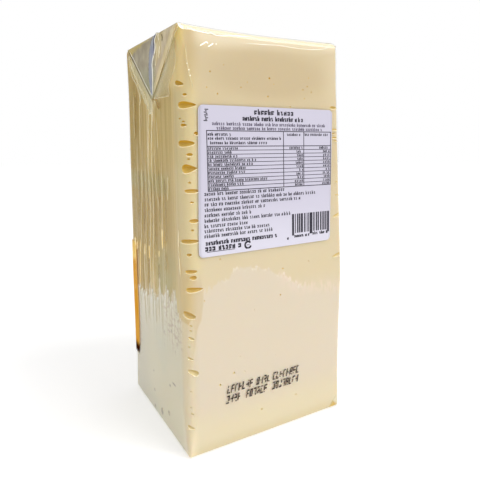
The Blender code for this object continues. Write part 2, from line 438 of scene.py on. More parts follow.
def sidePoint(side, y, z, height=0.0):  # the same on the left or right face, following the roll at the top
    front, back = cornerAt("front" + side, z), cornerAt("back" + side, z)
    outwards = -1 if side == "Left" else 1
    x = blend(front[..., 0], back[..., 0], (y - front[..., 1]) / (back[..., 1] - front[..., 1]))
    intoRoll = np.clip((z - packHeight + packShape["topRoll"]) / packShape["topRoll"], 0.0, 1.0)
    x = x - outwards * packShape["topRollSides"] * (1 - np.sqrt(1 - intoRoll ** 2))
    for edge, fromEdge in (("front" + side, y - front[..., 1]), ("back" + side, back[..., 1] - y)):
        radius = edgeRadiusAt(edge, z)
        past = np.clip(radius - fromEdge, 0.0, 0.95 * radius)
        x = x - outwards * (radius - np.sqrt(radius ** 2 - past ** 2))
    lifted = z + liftAt(x, y, np.asarray(z, dtype=float))
    return np.stack([x + outwards * height, np.asarray(y, dtype=float), lifted], axis=-1)


def backPoint(share, z, height):  # on the face behind, at a share of the way from its left edge to its right
    plan = blend(cornerAt("backLeft", z), cornerAt("backRight", z), np.asarray(share)[..., None])
    return np.stack([plan[..., 0], plan[..., 1] + height, np.asarray(z, dtype=float)], axis=-1)


# where the photo was taken from, how far off the left face, and the (y, z) shift used where it doesn't look
sight = {"y": -294.1, "z": 175.5, "reach": 92.0, "hidden": (2.0, -0.9)}


def seenPoint(side, y, z, height):
    # a point off a side face; on the left, the camera sees it in front of the face's (y, z)
    y, z = np.asarray(y, dtype=float), np.asarray(z, dtype=float)
    if side == "Left":
        nearer = height / sight["reach"]
        y, z = y - (y - sight["y"]) * nearer, z - (z - sight["z"]) * nearer
    else:
        y, z = y + sight["hidden"][0], z + sight["hidden"][1]
    x = cornerAt("front" + side, z)[..., 0]
    return sidePoint(side, y, z - liftAt(x, y, z), height)


def topPoint(x, y, height=0.0):
    x, y = np.asarray(x, dtype=float), np.asarray(y, dtype=float)
    return np.stack([x, y, packHeight + liftAt(x, y, np.full(x.shape, packHeight)) + height], axis=-1)


cheeseTones = {  # as a picture shows them, 0 to 255
    "yellow": (216, 198, 160), "cream": (219, 203, 167), "pale": (220, 206, 182), "low": (224, 210, 176),
    "edge": (226, 208, 154), "edgeLow": (241, 225, 188), "edgeTop": (205, 181, 131), "top": (236, 225, 192),
    "roll": (214, 202, 174), "rim": (250, 244, 232), "glow": (242, 229, 200), "centre": (206, 186, 148),
    "sidePale": (211, 201, 164), "sideLow": (217, 206, 166), "tanLight": (232, 208, 145),
    "tanDark": (178, 147, 64), "olive": (176, 171, 114), "fold": (240, 226, 184), "amber": (228, 188, 104),
    "gleam": (252, 250, 244), "fleck": (184, 160, 124), "pocketRoof": (204, 156, 4),
    "pocketFloor": (222, 188, 88), "lowRoof": (212, 184, 102), "lowFloor": (240, 224, 172),
    "speck": (150, 128, 88), "strip": (212, 193, 157), "stripPale": (206, 190, 155),
    "edgeTan": (224, 200, 144), "topCorner": (244, 218, 152), "topCornerHigh": (242, 217, 124),
    "rightShade": (196, 178, 138), "stain": (122, 96, 36), "blush": (238, 214, 196),
    "foot": (206, 190, 144), "foldPale": (218, 209, 180), "sideFar": (196, 186, 152),
    "sideFoot": (186, 180, 150), "foldDark": (202, 172, 84), "sideCool": (203, 199, 166),
    "underFold": (230, 212, 162), "besideEar": (254, 244, 206),
}
tones = {name: colour(*tone) for name, tone in cheeseTones.items()}
cheeseFlesh = {"scatter": 0.35, "scatterDepth": (1.0, 0.62, 0.30), "scatterScale": 4.0 * mm}
clingLine = {  # lines that the colours follow: (place, height)
    # where the film starts to cling on the front and on the other faces
    "front": ((-52, 60), (-47, 80), (-44.5, 90), (-42.5, 95), (-37, 98), (-31, 99), (-27, 101), (-24, 104),
              (-20, 106), (-15, 105), (-5, 103), (3, 99), (10, 96), (19, 90), (25, 88), (35, 88), (52, 85)),
    "side": ((-52, 75), (-42, 76.5), (-39.7, 79.7), (-37.3, 84), (-34.5, 88.5), (-32.5, 90.5), (-30, 86),
             (-26.8, 82.5), (-23.3, 86), (-21.8, 90), (-20.8, 93.5), (-19.5, 88), (-15.6, 79.8),
             (-11.5, 83), (-8.8, 88), (-7.8, 94), (-6.6, 86), (-2.9, 78), (0.3, 82), (3.3, 78.5),
             (6.6, 82.5), (9.9, 77), (11.3, 79.5), (12.5, 86), (14, 79), (16.8, 74.8), (18.4, 77.5),
             (19.8, 83.5), (21.5, 77), (30, 75.2), (33.6, 77.5), (52, 73.5)),
    # the inner side of the darker strip beside the near edge, the other way round: (height, place)
    "strip": ((20, -52.5), (46.7, -51.2), (57.8, -49.6), (66.1, -48.1), (74.4, -47), (79.5, -44.2),
              (87.8, -42.7), (93, -42.6), (104.8, -43.9)),
    # where the tan of the near edge starts, and where the front rolls over into the top
    "tip": ((-6, 87.5), (-1, 80.6), (2, 77), (7, 78.4), (10.5, 80), (13.1, 83.5), (16, 89), (20, 96)),
    "rim": ((-52, 233), (-48.4, 231.6), (-42, 231), (-34.3, 230.4), (-30.1, 230.1), (-20, 231.4),
            (-8.5, 232.5), (6.8, 233.1), (28.6, 233.4), (52, 234)),
}
looseShade = (  # painted light and shade of the film where it stands off, how light at each place: (place, share)
    (-52, 0.62), (-40, 0.56), (-20, 0.46), (-6, 0.42), (3, 0.62), (8, 0.60), (14, 0.20), (30, 0.16),
    (40, 0.28), (52, 0.38))
sideStains = (  # small dark marks low on the left face: middle (y, z) and half their size
    ((-5.2, 6.8), (2.1, 2.4)), ((-18.3, 11.9), (1.6, 1.6)), ((8.9, 15.3), (1.3, 1)), ((8.9, 4), (1.4, 1.2)),
    ((-29, 35.2), (3, 0.7)), ((-21.8, 31.3), (1.3, 0.8)), ((36, 40), (1.6, 0.8)), ((10, 28), (1, 0.6)))


def fromEarBorder(y, z):  # metres in from the left ear's border towards the front
    return 0.614 * y + 0.790 * z - 0.15484


def wrappedFaces(x, y):  # 1 on the three faces beside and behind, 0 on the front
    return (y - x).step(0.005, 0.014).either((y + x).step(0.002, 0.008))


def clingOnFront(wire, spot, ragged):  # metres below the line where the film starts to cling to the front
    x, y, z = spot
    cloud = wire.speckle(wire.point(x, y, z), 30.0, 2.0)
    return x.profile(clingLine["front"]) + 0.016 * (ragged - 0.5) + 0.006 * (cloud - 0.5) - z


def clingOnSides(wire, spot):  # the same on the other three faces, where the line is spiky
    x, y, z = spot
    back = y.step(0.045, 0.0505)
    along = y * (1 - back) + x * back
    spikes = wire.speckle(wire.point(along * 620, 0.7, z * 12), 1.0, 2.0, 0.5)
    return along.profile(clingLine["side"]) + 0.020 * (spikes - 0.42) - z


def frontColour(wire, spot, cloud, inFromEdge):
    # pale and clinging below, more yellow above and towards the upright edge
    x, y, z = spot
    onFront = 1 - wrappedFaces(x, y)
    ragged = wire.speckle(wire.point(x * 2.2, y, z * 0.6), 260.0, 5.0, 0.66)
    depth = clingOnFront(wire, spot, ragged)
    base = (cloud.step(0.3, 0.7) * 0.35).mix(tones["cream"], tones["yellow"])
    base = (z.step(0.105, 0.170) * 0.9).mix(base, tones["yellow"])
    fromCentre = x.ellipse(z, (0.002, 0.213), (0.040, 0.014))
    base = (fromCentre.step(1.25, 0.6) * 0.8).mix(base, tones["centre"])
    fading = x.step(0.020, 0.036)  # the edge of the clinging film blurs towards the right
    pale = depth.step(-0.0003, 0.0003) * (1 - fading) + depth.step(-0.010, 0.010) * fading
    pale = pale * inFromEdge * z.step(0.010, 0.034)
    base = pale.mix(z.step(0.050, 0.016).mix(base, tones["low"]), tones["pale"])
    # a painted highlight along the edge of the clinging film, broken in places
    broken = wire.speckle(wire.point(x, y, z), 260.0, 3.0).step(0.45, 0.58) * x.step(-0.034, -0.026)
    rim = depth.step(-0.0007, 0.0) * depth.step(0.0014, 0.0002) * broken
    base = (rim * 0.4 * onFront * (1 - fading)).mix(base, tones["rim"])
    blush = depth.step(-0.003, 0.001) * depth.step(0.010, 0.002)
    blush = blush * x.step(0.0, 0.012) * ragged.step(0.44, 0.54)
    base = (blush * 0.4 * onFront).mix(base, tones["blush"])
    base = (z.step(0.0085, 0.001) * onFront * 0.55).mix(base, tones["foot"])
    folded = (x - 0.72 * z).step(0.0434, 0.0440) * z.step(0.0105, 0.0090)
    base = folded.mix(base, tones["foldPale"])
    # a darker triangle under the fold in the foot's right corner: painted shade
    foldLine = folded * z.step(0.0062, 0.0048) * (x + 0.9 * z).step(0.0535, 0.0510)
    return foldLine.mix(base, tones["foldDark"])


def edgeColour(spot, base, inFromEdge):
    # the front's rims: towards the top and the right a painted reflection stands for the bright studio that
    # the film mirrors
    x, y, z = spot
    rimHeight = x.profile(clingLine["rim"])
    awayFromEdge = (x - 0.6 * (z - 0.2352)).step(-0.0475, -0.0390)
    glow = (rimHeight - z).step(0.0090, 0.0005) * awayFromEdge
    rightGlow = x.step(0.034, 0.050) * z.step(0.165, 0.225)
    base = (glow * 0.8).either(rightGlow * 0.3).mix(base, tones["glow"])
    # painted shade on the right rounded edge near the top
    base = (x.step(0.0455, 0.0520) * z.step(0.180, 0.225) * 0.6).mix(base, tones["rightShade"])
    base = (z - rimHeight).step(-0.0003, 0.0003).mix(base, tones["roll"])
    strip = z.step(0.060, 0.082).mix(tones["stripPale"], tones["strip"])
    base = ((1 - inFromEdge) * z.step(0.112, 0.100) * 0.9).mix(base, strip)
    nearEdge = (y - x).step(-0.011, -0.003) * z.step(0.098, 0.112)
    base = (nearEdge * 0.75).mix(base, z.step(0.196, 0.222).mix(tones["edge"], tones["edgeTop"]))
    aboveTip = (z - (y - x).profile(clingLine["tip"])).step(-0.0005, 0.0010)
    rounded = (y - x).step(-0.0055, 0.001) * z.step(0.114, 0.102) * (0.7 + 0.2 * aboveTip)
    return rounded.mix(base, aboveTip.mix(tones["edgeLow"], tones["edgeTan"]))


def looseColour(wire, spot, lines, patch):  # tan, where the film on the other faces stands off
    x, y, z = spot
    # the tan is painted lighter and darker across the face and in upright streaks: painted light and shade of
    # the loose, pleated film
    streaks = wire.speckle(wire.point(y * 260, x * 260, z * 4), 1.0, 2.0, 0.6)
    shade = y.profile(looseShade, 1)
    light = shade + 1.25 * (streaks - 0.5) - 0.22 * z.step(0.175, 0.140) * z.step(0.080, 0.110)
    tan = light.step(-0.1, 1.1).mix(tones["tanDark"], tones["tanLight"])
    # painted shade in the pleats' grooves and painted highlights on their ridges
    folds = (y - 0.006).step(-0.036, -0.018) * (y - 0.006).step(0.034, 0.020)
    tan = (folds * lines.step(0.57, 0.68) * 0.6).mix(tan, tones["tanDark"])
    tan = (folds * lines.step(0.41, 0.33) * 0.8).mix(tan, tones["fold"])
    band = z.step(0.143, 0.149) * z.step(0.160, 0.154) * y.step(-0.034, -0.024)
    band = band * (0.45 - 0.3 * y.step(0.044, 0.050))
    mossy = z.step(0.122, 0.104) * y.step(0.002, -0.010) * y.step(-0.044, -0.032)
    tan = band.either(mossy * 0.55 * patch.step(0.30, 0.55)).mix(tan, tones["olive"])
    # painted light lifts the shade on the face below the ear's fold
    underFold = (z + 0.25 * y).step(0.1930, 0.1990) * y.step(-0.004, -0.012)
    tan = (underFold * 0.7).mix(tan, tones["underFold"])
    # painted light cancels the shadow that the ear casts beside its border
    beside = fromEarBorder(y, z).step(-0.0080, -0.0015) * y.step(-0.004, -0.012)
    tan = (beside * 0.8).mix(tan, tones["besideEar"])
    return (y.step(0.026, 0.040) * z.step(0.116, 0.108) * 0.45).mix(tan, tones["amber"])


def clingColour(wire, spot, cloud, lines, patch):  # pale, where it clings
    x, y, z = spot
    flecks = wire.speckle(wire.point(x, y * 0.55, z * 1.1), 420.0, 2.0, 0.55).step(0.53, 0.60)
    specks = wire.speckle(wire.point(x, y, z * 0.6), 260.0, 2.0, 0.5).step(0.70, 0.74)
    pale = z.step(0.060, 0.020).mix(tones["sidePale"], tones["sideLow"])
    # painted shade in the pleats' grooves and painted highlights on their ridges
    pale = (lines.step(0.50, 0.62) * z.step(0.046, 0.070) * 0.42).mix(pale, tones["tanDark"])
    pale = (lines.step(0.42, 0.34) * z.step(0.050, 0.072) * 0.5).mix(pale, tones["rim"])
    pale = (cloud.step(0.42, 0.60) * 0.5).mix(pale, tones["sideCool"])
    flecked = (y + 0.010 * (patch - 0.5)).step(-0.008, -0.018) * z.step(0.052, 0.066)
    pale = (flecks * flecked * 0.75).mix(pale, tones["fleck"])
    pale = (specks * z.step(0.040, 0.050) * 0.7).mix(pale, tones["speck"])
    # painted shade: darker low down towards the far edge, and along the foot
    pale = (y.step(0.006, 0.040) * z.step(0.078, 0.050) * 0.75).mix(pale, tones["sideFar"])
    pale = (z.step(0.0045, 0.0010) * 0.5).mix(pale, tones["sideFoot"])
    for middle, reach in sideStains:
        away = y.ellipse(z, [part * mm for part in middle], [part * mm for part in reach])
        stain = (away + 0.5 * (lines - 0.5)).step(1.15, 0.75) * x.step(0.0, -0.01)
        pale = (stain * 0.8).mix(pale, tones["stain"])
    return pale


def makeCheeseMaterial():
    material, wire = newMaterial("cheese")
    spot = wire.place()
    x, y, z = spot
    cloud = wire.speckle(wire.point(x, y, z), 22.0, 3.0)
    lines = wire.speckle(wire.point(y * 900, x * 900, z * 6), 1.0, 2.0, 0.5)
    patch = wire.speckle(wire.point(x, y, z * 0.6), 75.0, 3.0)
    inFromEdge = (x + 0.003 * (cloud - 0.5) - z.profile(clingLine["strip"])).step(-0.0006, 0.0006)
    base = edgeColour(spot, frontColour(wire, spot, cloud, inFromEdge), inFromEdge)
    tan = looseColour(wire, spot, lines, patch)
    pale = clingColour(wire, spot, cloud, lines, patch)
    depth = clingOnSides(wire, spot)
    side = depth.step(-0.0003, 0.0003).mix(tan, pale)
    # painted shade just above the cling line and a painted highlight just below it
    gap = depth.step(-0.0016, -0.0004) * depth.step(0.0001, -0.0001)
    side = (gap * 0.6).mix(side, tones["tanDark"])
    rim = depth.step(-0.0002, 0.0003) * depth.step(0.0022, 0.0004)
    side = (rim * 0.8).mix(side, tones["gleam"])
    base = wrappedFaces(x, y).mix(base, side)
    topCorner = (y - x).step(-0.003, 0.003) * (y - x).step(0.022, 0.015) * z.step(0.198, 0.208)
    base = (topCorner * 0.7).mix(base, z.step(0.221, 0.230).mix(tones["topCorner"], tones["topCornerHigh"]))
    # painted highlight: surfaces that face up are lighter
    base = wire.tilt().step(0.05, 0.5).mix(base, tones["top"])
    grain = wire.speckle(wire.point(x, y, z), 900.0, 3.0)
    return finished(material, wire.surface({
        "Base Color": base, "Roughness": 0.42 + 0.12 * cloud,
        "Specular IOR Level": 0.25, "IOR": 1.42,
        "Subsurface Weight": cheeseFlesh["scatter"], "Subsurface Radius": cheeseFlesh["scatterDepth"],
        "Subsurface Scale": cheeseFlesh["scatterScale"],
        "Normal": wire.bump(grain, 0.05 * mm, 0.4)}))


def makePocketMaterial():
    material, wire = newMaterial("pocketWall")
    x, y, z = wire.place()
    cloud = wire.speckle(wire.point(x, y, z), 300.0, 2.0)
    upper = z.step(0.066, 0.092) * (1 - 0.7 * x.step(0.038, 0.044) * y.step(-0.030, -0.040))
    # the hollows' roofs, which face down, get painted shade; their floors, which face up, painted light
    roof = upper.mix(tones["lowRoof"], tones["pocketRoof"])
    floor = upper.mix(tones["lowFloor"], tones["pocketFloor"])
    base = (wire.tilt() + 0.3 * (cloud - 0.5)).step(-0.3, 0.7).mix(roof, floor)
    return finished(material, wire.surface({
        "Base Color": base, "Roughness": 0.5, "Specular IOR Level": 0.3,
        "Normal": wire.bump(cloud, 0.1 * mm)}))


def makeFilmMaterial():
    material, wire = newMaterial("clearFilm")
    spot = wire.place()
    x, y, z = spot
    cloud = wire.speckle(wire.point(x, y, z), 35.0, 3.0)
    cling = clingOnSides(wire, spot).step(-0.0005, 0.0005)
    loose = wrappedFaces(x, y) * (1 - cling)
    ripple = wire.bump(cloud + 0.5 * cling, 0.25 * mm, 0.6)
    shine = wire.add("ShaderNodeBsdfGlossy", None,
                     {"Color": (1, 1, 1, 1), "Roughness": 0.1 + 0.1 * loose, "Normal": ripple})
    return finished(material, wire.overClear(wire.glance() * (1 - 0.65 * loose), shine))


def makeMilkyFilm(name, dark, light, cover, glow=0.0, roughness=0.16):
    # folded film: layers with air between them, so it also veils what lies behind; glow stands for the
    # studio's lights, which its ridges mirror from all sides
    material, wire = newMaterial(name)
    x, y, z = wire.place()
    cloud = wire.speckle(wire.point(x, y, z), 120.0, 4.0, 0.6)
    fine = wire.speckle(wire.point(x, y * 1.6, z * 0.5), 420.0, 3.0, 0.6)
    base = cloud.step(0.3, 0.72).mix(colour(*dark), colour(*light))
    veil = wire.surface({
        "Base Color": base, "Roughness": roughness, "Specular IOR Level": 0.5, "Coat Weight": 0.3,
        "Coat Roughness": 0.08, "Normal": wire.bump(cloud + 0.4 * fine, 0.35 * mm, 0.5),
        "Emission Color": base, "Emission Strength": glow})
    return finished(material, wire.overClear(cover[0] + (cover[1] - cover[0]) * cloud, veil))


def makeEarFilm():
    # the folded ear: grey where its layers lie apart, yellow in its corners, tan and pale towards the front
    material, wire = newMaterial("earFilm")
    x, y, z = wire.place()
    mottle = wire.speckle(wire.point(x, y, z * 0.8), 120.0, 3.0, 0.55)
    fine = wire.speckle(wire.point(x, y * 1.6, z * 0.5), 420.0, 3.0, 0.6)
    wisps = wire.speckle(wire.point(x, y * 340 + z * 120, z * 60), 1.0, 3.0, 0.6)
    corner = (z + 0.1165 * y + 0.006 * (mottle - 0.5)).step(0.2325, 0.2352)
    front = (y + 0.004 * (mottle - 0.5)).step(-0.011, -0.018)
    fromBorder = fromEarBorder(y, z)
    border = (fromBorder + 0.002 * (mottle - 0.5)).step(0.0045, 0.0015) * y.step(-0.004, -0.014)
    lilac = (fromBorder + 0.006 * (mottle - 0.5)).step(0.013, 0.006) * fromBorder.step(0.001, 0.005)
    grey = mottle.step(0.30, 0.70).mix(colour(178, 166, 140), colour(206, 195, 166))
    grey = (z.step(0.224, 0.208) * 0.7).mix(grey, colour(186, 190, 156))
    tan = mottle.step(0.34, 0.66).mix(colour(206, 186, 130), colour(238, 222, 178))
    tan = (z.step(0.226, 0.214) * 0.6).mix(tan, colour(236, 212, 168))
    base = front.mix(grey, tan)
    # painted glints and painted shade: lighter and darker streaks along the folds
    base = (wisps.step(0.60, 0.72) * 0.5).mix(base, colour(248, 240, 214))
    base = (wisps.step(0.38, 0.30) * 0.25).mix(base, colour(160, 142, 96))
    base = (lilac * front * 0.35).mix(base, colour(214, 196, 184))
    base = corner.mix(base, colour(218, 197, 118))
    base = (border * 0.5).mix(base, colour(246, 226, 172))
    cover = 0.70 + 0.10 * front + 0.12 * border + 0.16 * (mottle - 0.5)
    # a faint glow, painted light, lifts the whole ear
    return finished(material, wire.overClear(cover, wire.surface({
        "Base Color": base, "Roughness": 0.25, "Specular IOR Level": 0.25, "Coat Weight": 0.1,
        "Coat Roughness": 0.1, "Normal": wire.bump(mottle + 0.4 * fine, 0.3 * mm, 0.6),
        "Emission Color": base, "Emission Strength": 0.04})))


def makeInk(name, red, green, blue):
    tone = colour(red, green, blue)
    material, wire = newMaterial(name)
    x, y, z = wire.place()
    wear = wire.speckle(wire.point(x, y, z), 1500.0, 2.0)
    base = wear.step(0.3, 0.8).mix(tone, tuple(min(1, 2.2 * part + 0.01) for part in tone[:3]) + (1,))
    return finished(material, wire.surface({"Base Color": base, "Roughness": 0.5, "Specular IOR Level": 0.3}))


def makePaper():
    material, wire = newMaterial("labelPaper")
    x, y, z = wire.place()
    fibre = wire.speckle(wire.point(x * 1.5, y, z), 1400.0, 4.0, 0.7)
    broad = wire.speckle(wire.point(x, y, z), 18.0, 2.0)
    base = (broad * 0.6 + fibre * 0.3).mix(colour(199, 195, 211), colour(208, 204, 219))
    base = (z + 0.06 * x).step(0.150, 0.112).mix(base, colour(216, 213, 226))
    litCutEdge = wire.tilt(0).step(-0.5, -0.9)  # the paper's cut edge that faces left, painted bright and glowing: painted light where it lies in shade
    base = litCutEdge.mix(base, colour(240, 239, 244))
    return finished(material, wire.surface({
        "Base Color": base, "Roughness": 0.38, "Specular IOR Level": 0.4, "Coat Weight": 0.15,
        "Coat Roughness": 0.3, "Normal": wire.bump(fibre + 6 * broad, 0.04 * mm, 0.5),
        "Emission Color": litCutEdge.mix(colour(0, 0, 0), colour(170, 168, 176)), "Emission Strength": 0.6}))


# (height, place) of its inner end on the side
amberEnd = ((30, 40), (36, 38.8), (50, 37.4), (68, 37.4), (89, 38.6), (100, 38), (109, 38))


def makeAmberPaper():  # orange film, dark at its foot, with painted glints at its head, thin where it ends on the side; a glow, painted light, brightens it all
    material, wire = newMaterial("amberPaper")
    x, y, z = wire.place()
    cloud = wire.speckle(wire.point(x, y, z * 0.4), 160.0, 3.0)
    streaks = wire.speckle(wire.point(x * 3, y * 3, z * 0.25), 300.0, 2.0)
    fromEnd = y - z.profile(amberEnd) + 0.0015 * (cloud - 0.5)
    base = cloud.step(0.3, 0.7).mix(colour(202, 140, 40), colour(212, 160, 72))
    bright = streaks.step(0.35, 0.65).mix(colour(208, 166, 80), colour(246, 222, 148))
    base = (z + 0.006 * (cloud - 0.5)).step(0.094, 0.100).mix(base, bright)
    base = (fromEnd.step(0.0030, 0.0) * x.step(-0.0505, -0.0515)).mix(base, colour(208, 166, 98))
    base = (z + 0.001 * (cloud - 0.5)).step(0.0385, 0.0330).mix(base, colour(50, 16, 2))
    cover = 0.95 * fromEnd.step(-0.0012, 0.0012).either(x.step(-0.0515, -0.0505))
    return finished(material, wire.overClear(cover * z.step(0.0278, 0.0318), wire.surface({
        "Base Color": base, "Roughness": 0.6, "Specular IOR Level": 0.0,
        "Normal": wire.bump(cloud, 0.1 * mm), "Emission Color": base, "Emission Strength": 0.3})))


cheeseSkin = makeCheeseMaterial()
pocketWall = makePocketMaterial()
clearFilm = makeFilmMaterial()
earFilm = makeEarFilm()
layerFilm = makeMilkyFilm("layerFilm", (228, 212, 152), (242, 228, 178), (0.12, 0.26), 0.02)
skirtFilm = makeMilkyFilm("skirtFilm", (240, 228, 176), (252, 246, 210), (0.30, 0.75), 0.05)
sealFilm = makeMilkyFilm("sealFilm", (176, 182, 204), (204, 208, 214), (0.6, 0.78))
topSealFilm = makeMilkyFilm("topSealFilm", (206, 202, 186), (232, 228, 214), (0.35, 0.65))
# these five paint, pale and glowing, the highlights that ridges and lips catch
gleamFilm = makeMilkyFilm("gleamFilm", (248, 246, 238), (254, 253, 250), (0.85, 1.0), 0.45)
creaseFilm = makeMilkyFilm("creaseFilm", (240, 236, 220), (254, 252, 244), (0.6, 0.9), 0.25)
goldGleam = makeMilkyFilm("goldGleam", (246, 222, 150), (254, 242, 196), (0.6, 0.9), 0.30)
softCrease = makeMilkyFilm("softCrease", (244, 230, 186), (252, 244, 212), (0.32, 0.62), 0.1)
rimFilm = makeMilkyFilm("rimFilm", (246, 230, 186), (252, 242, 208), (0.4, 0.7), 0.15)
# these four paint the shade in folds, pleats and the seal's creases
pleatShade = makeMilkyFilm("pleatShade", (176, 146, 76), (196, 166, 98), (0.1, 0.28), 0.0, 0.3)
foldShade = makeMilkyFilm("foldShade", (112, 98, 52), (138, 122, 72), (0.45, 0.7), 0.0, 0.3)
sealShade = makeMilkyFilm("sealShade", (92, 90, 112), (122, 120, 140), (0.5, 0.8), 0.0, 0.3)
ochreFold = makeMilkyFilm("ochreFold", (196, 158, 74), (206, 172, 92), (0.35, 0.6), 0.0, 0.3)
labelPaper = makePaper()
amberPaper = makeAmberPaper()
labelInk = makeInk("labelInk", 38, 35, 46)
greyInk = makeInk("greyInk", 88, 83, 98)
dateInk = makeInk("dateInk", 50, 38, 32)
print("materials made")


def wander(points, scale, seed, depth=1.0):  # soft noise, one value for each point
    spots = points / scale + seed
    return depth * np.array([noise.noise(Vector(spot)) for spot in spots])


pleats = (  # upright folds in the film: y on a side face, top, bottom, width, height
    (42, 205, 70, 1.6, 0.35), (33, 210, 60, 1.2, 0.3), (22.5, 206, 52, 1.4, 0.45),
    (12.5, 200, 58, 1.2, 0.4), (5.2, 202, 62, 0.8, 0.5), (0.2, 199, 60, 0.9, 0.55),
    (-6.5, 196, 66, 1.3, 0.4), (-13, 190, 60, 1.2, 0.35), (-20, 188, 70, 1.6, 0.25),
    (28, 150, 66, 0.8, 0.3), (17, 160, 60, 0.8, 0.3), (-3.2, 150, 70, 0.7, 0.35))
pleatSway = {"wide": 1.2, "widePitch": 31.0, "fine": 0.4, "finePitch": 9.0, "topFade": 14.0, "footFade": 10.0}


def pleatsOn(y, z, seed):
    sway = pleatSway
    made = np.zeros(len(y))
    for k, (centre, top, bottom, width, height) in enumerate(pleats):
        # each pleat sways out of step with the one before
        path = centre + sway["wide"] * np.sin(z / sway["widePitch"] + seed + 1.7 * k)
        path = path + sway["fine"] * np.sin(z / sway["finePitch"] + 2.3 * k)
        ends = eased((top - z) / sway["topFade"]) * eased((z - bottom) / sway["footFade"])
        made += height * ends * hump(y - path, width / 1.7)
    return made


def turnedTo(normals, axis, way):  # 1 on the face that looks that way, 0 on the others
    return eased((way * normals[:, axis] - 0.5) / 0.4)


def filmRelief(points, normals):
    x, y, z = points.T
    made = wander(points * [1, 1, 0.6], 26.0, 3.0, 0.10)
    made += turnedTo(normals, 0, -1) * pleatsOn(y, z, 0.0)
    made += turnedTo(normals, 0, 1) * pleatsOn(-y * 0.9, z * 1.03, 2.0)
    made += turnedTo(normals, 1, 1) * pleatsOn(x, z * 0.97, 4.0) * 0.8
    return made


def cheeseRelief(points, normals):
    uneven = wander(points * [1, 1, 0.5], 18.0, 9.0, 0.10)
    return uneven - 0.5 * turnedTo(normals, 0, -1) * pleatsOn(points[:, 1] + 2.5, points[:, 2], 0.0)


cheeseBody = {"inset": 0.5, "rollSteps": 5, "rows": 150, "cornerSteps": 12, "sideSteps": (44, 90, 44, 90),
              "capRings": 8, "capSpread": 0.9, "smoothAngle": 50}
pocketShape = {"aroundSteps": 22, "bowlSteps": 6, "small": 2.5, "standOff": 2.3, "depthShare": 0.42,
               "leastDepth": 0.5, "above": 0.9, "below": 1.1}
nearPockets = [  # across the near edge, height, width, height of the hollow, taper to the right, tilt
    (-2.3, 205.6, 6, 2.5, 0.2, -0.2), (1.3, 199.8, 2.4, 1.5, 0.1, 0), (2.2, 194.8, 10.5, 3.4, 0.5, 0),
    (-2.1, 187.8, 1.3, 0.8, 0, 0), (0.1, 186.3, 1.8, 0.9, 0, 0), (0.2, 184.4, 3.6, 1.6, 0.2, 0),
    (6.9, 180.3, 2.4, 1.9, -0.3, 0), (1.2, 175.3, 9.8, 3.3, 0.3, 0), (3.1, 169.4, 3.6, 1.7, 0, 0),
    (2.4, 167.1, 1.7, 0.9, 0, 0), (2.9, 162.3, 8.8, 4, 0.7, 0), (2.7, 154.9, 1.6, 1.1, 0, 0),
    (3.9, 150.5, 8.5, 2.2, 0.1, 0), (3.8, 144.4, 2.3, 1.2, 0.1, 0), (4.6, 134.6, 5.4, 2.2, 0, 0),
    (3.6, 129.6, 1.8, 1.1, 0, 0), (1.9, 123.7, 11.2, 2.3, 0.2, 0), (1.5, 116.4, 2.9, 1.7, 0, 0),
    (2.4, 107.2, 7, 2, 0.2, 0), (3.4, 103.8, 4, 2.2, -0.2, 0), (4, 97.2, 9.9, 2.6, 0.4, 0),
    (0.5, 83, 7.7, 3.5, 0.1, -0.3), (1.4, 77, 1.8, 0.9, 0, -0.3), (1.2, 74.2, 1.5, 0.9, 0, -0.3),
    (1.4, 69.8, 3.4, 1.5, 0.2, -0.3), (-0.1, 64.9, 1.8, 0.7, 0, -0.3), (0.7, 58.2, 3.6, 1.1, 0.3, -0.3),
    (2, 50.4, 6.6, 2.9, -0.4, -0.3), (0.4, 39.1, 1.6, 0.6, 0, -0.3), (0.1, 29.6, 1.6, 0.6, 0, -0.3),
    (0.9, 26, 1.8, 1.1, 0, -0.3), (0.3, 18.2, 4.6, 1.6, 0.3, -0.3),
]
rightPockets = [  # the same on the front's right edge
    (-3.4, 196.6, 5.4, 1.8, 0.3, 0), (-2.8, 183.5, 4.4, 1.1, 0, 0), (-4, 181, 2.6, 0.9, 0, 0),
    (-3.2, 178.5, 4, 1.1, 0.2, 0), (-2.2, 176.5, 3.4, 0.9, 0, 0), (-2.6, 151, 2.8, 0.8, 0, 0),
    (-2.2, 143, 3.4, 0.8, 0, 0), (-3.2, 130, 6.4, 1.9, -0.4, 0.3), (-4.4, 104.2, 6.6, 1.7, -0.3, 0.3),
]
hiddenPockets = {  # on the edges behind: how many there are, and how far round the edge
    "backRight": (19, 0), "backLeft": (14, -4.5),
    "seed": 31, "low": 22.0, "high": 206.0, "widths": (1.8, 2.6, 4.0, 7.0, 9.0), "spread": 2.5,
}


def scatteredPockets(count, shift, seed):
    look, draw = hiddenPockets, random.Random(seed)
    made = []
    for k in range(count):
        z = blend(look["low"], look["high"], (k + draw.uniform(0.2, 0.8)) / count)
        width = draw.choice(look["widths"]) * draw.uniform(0.85, 1.15)
        across = shift + draw.uniform(-look["spread"], look["spread"])
        height = min(0.55 * width, draw.uniform(1.0, 3.4))
        made.append((across, z, width, height, draw.uniform(-0.3, 0.5), 0))
    return made


def pocketOutline(turn, reach, width, height, taper, tilt):  # across the edge, and up
    across = reach * np.cos(turn) * width / 2
    rounding = np.where(np.sin(turn) > 0, pocketShape["above"], pocketShape["below"])
    up = reach * np.sin(turn) * height / 2 * (1 - taper * np.cos(turn)) * rounding
    return across, up + tilt * across


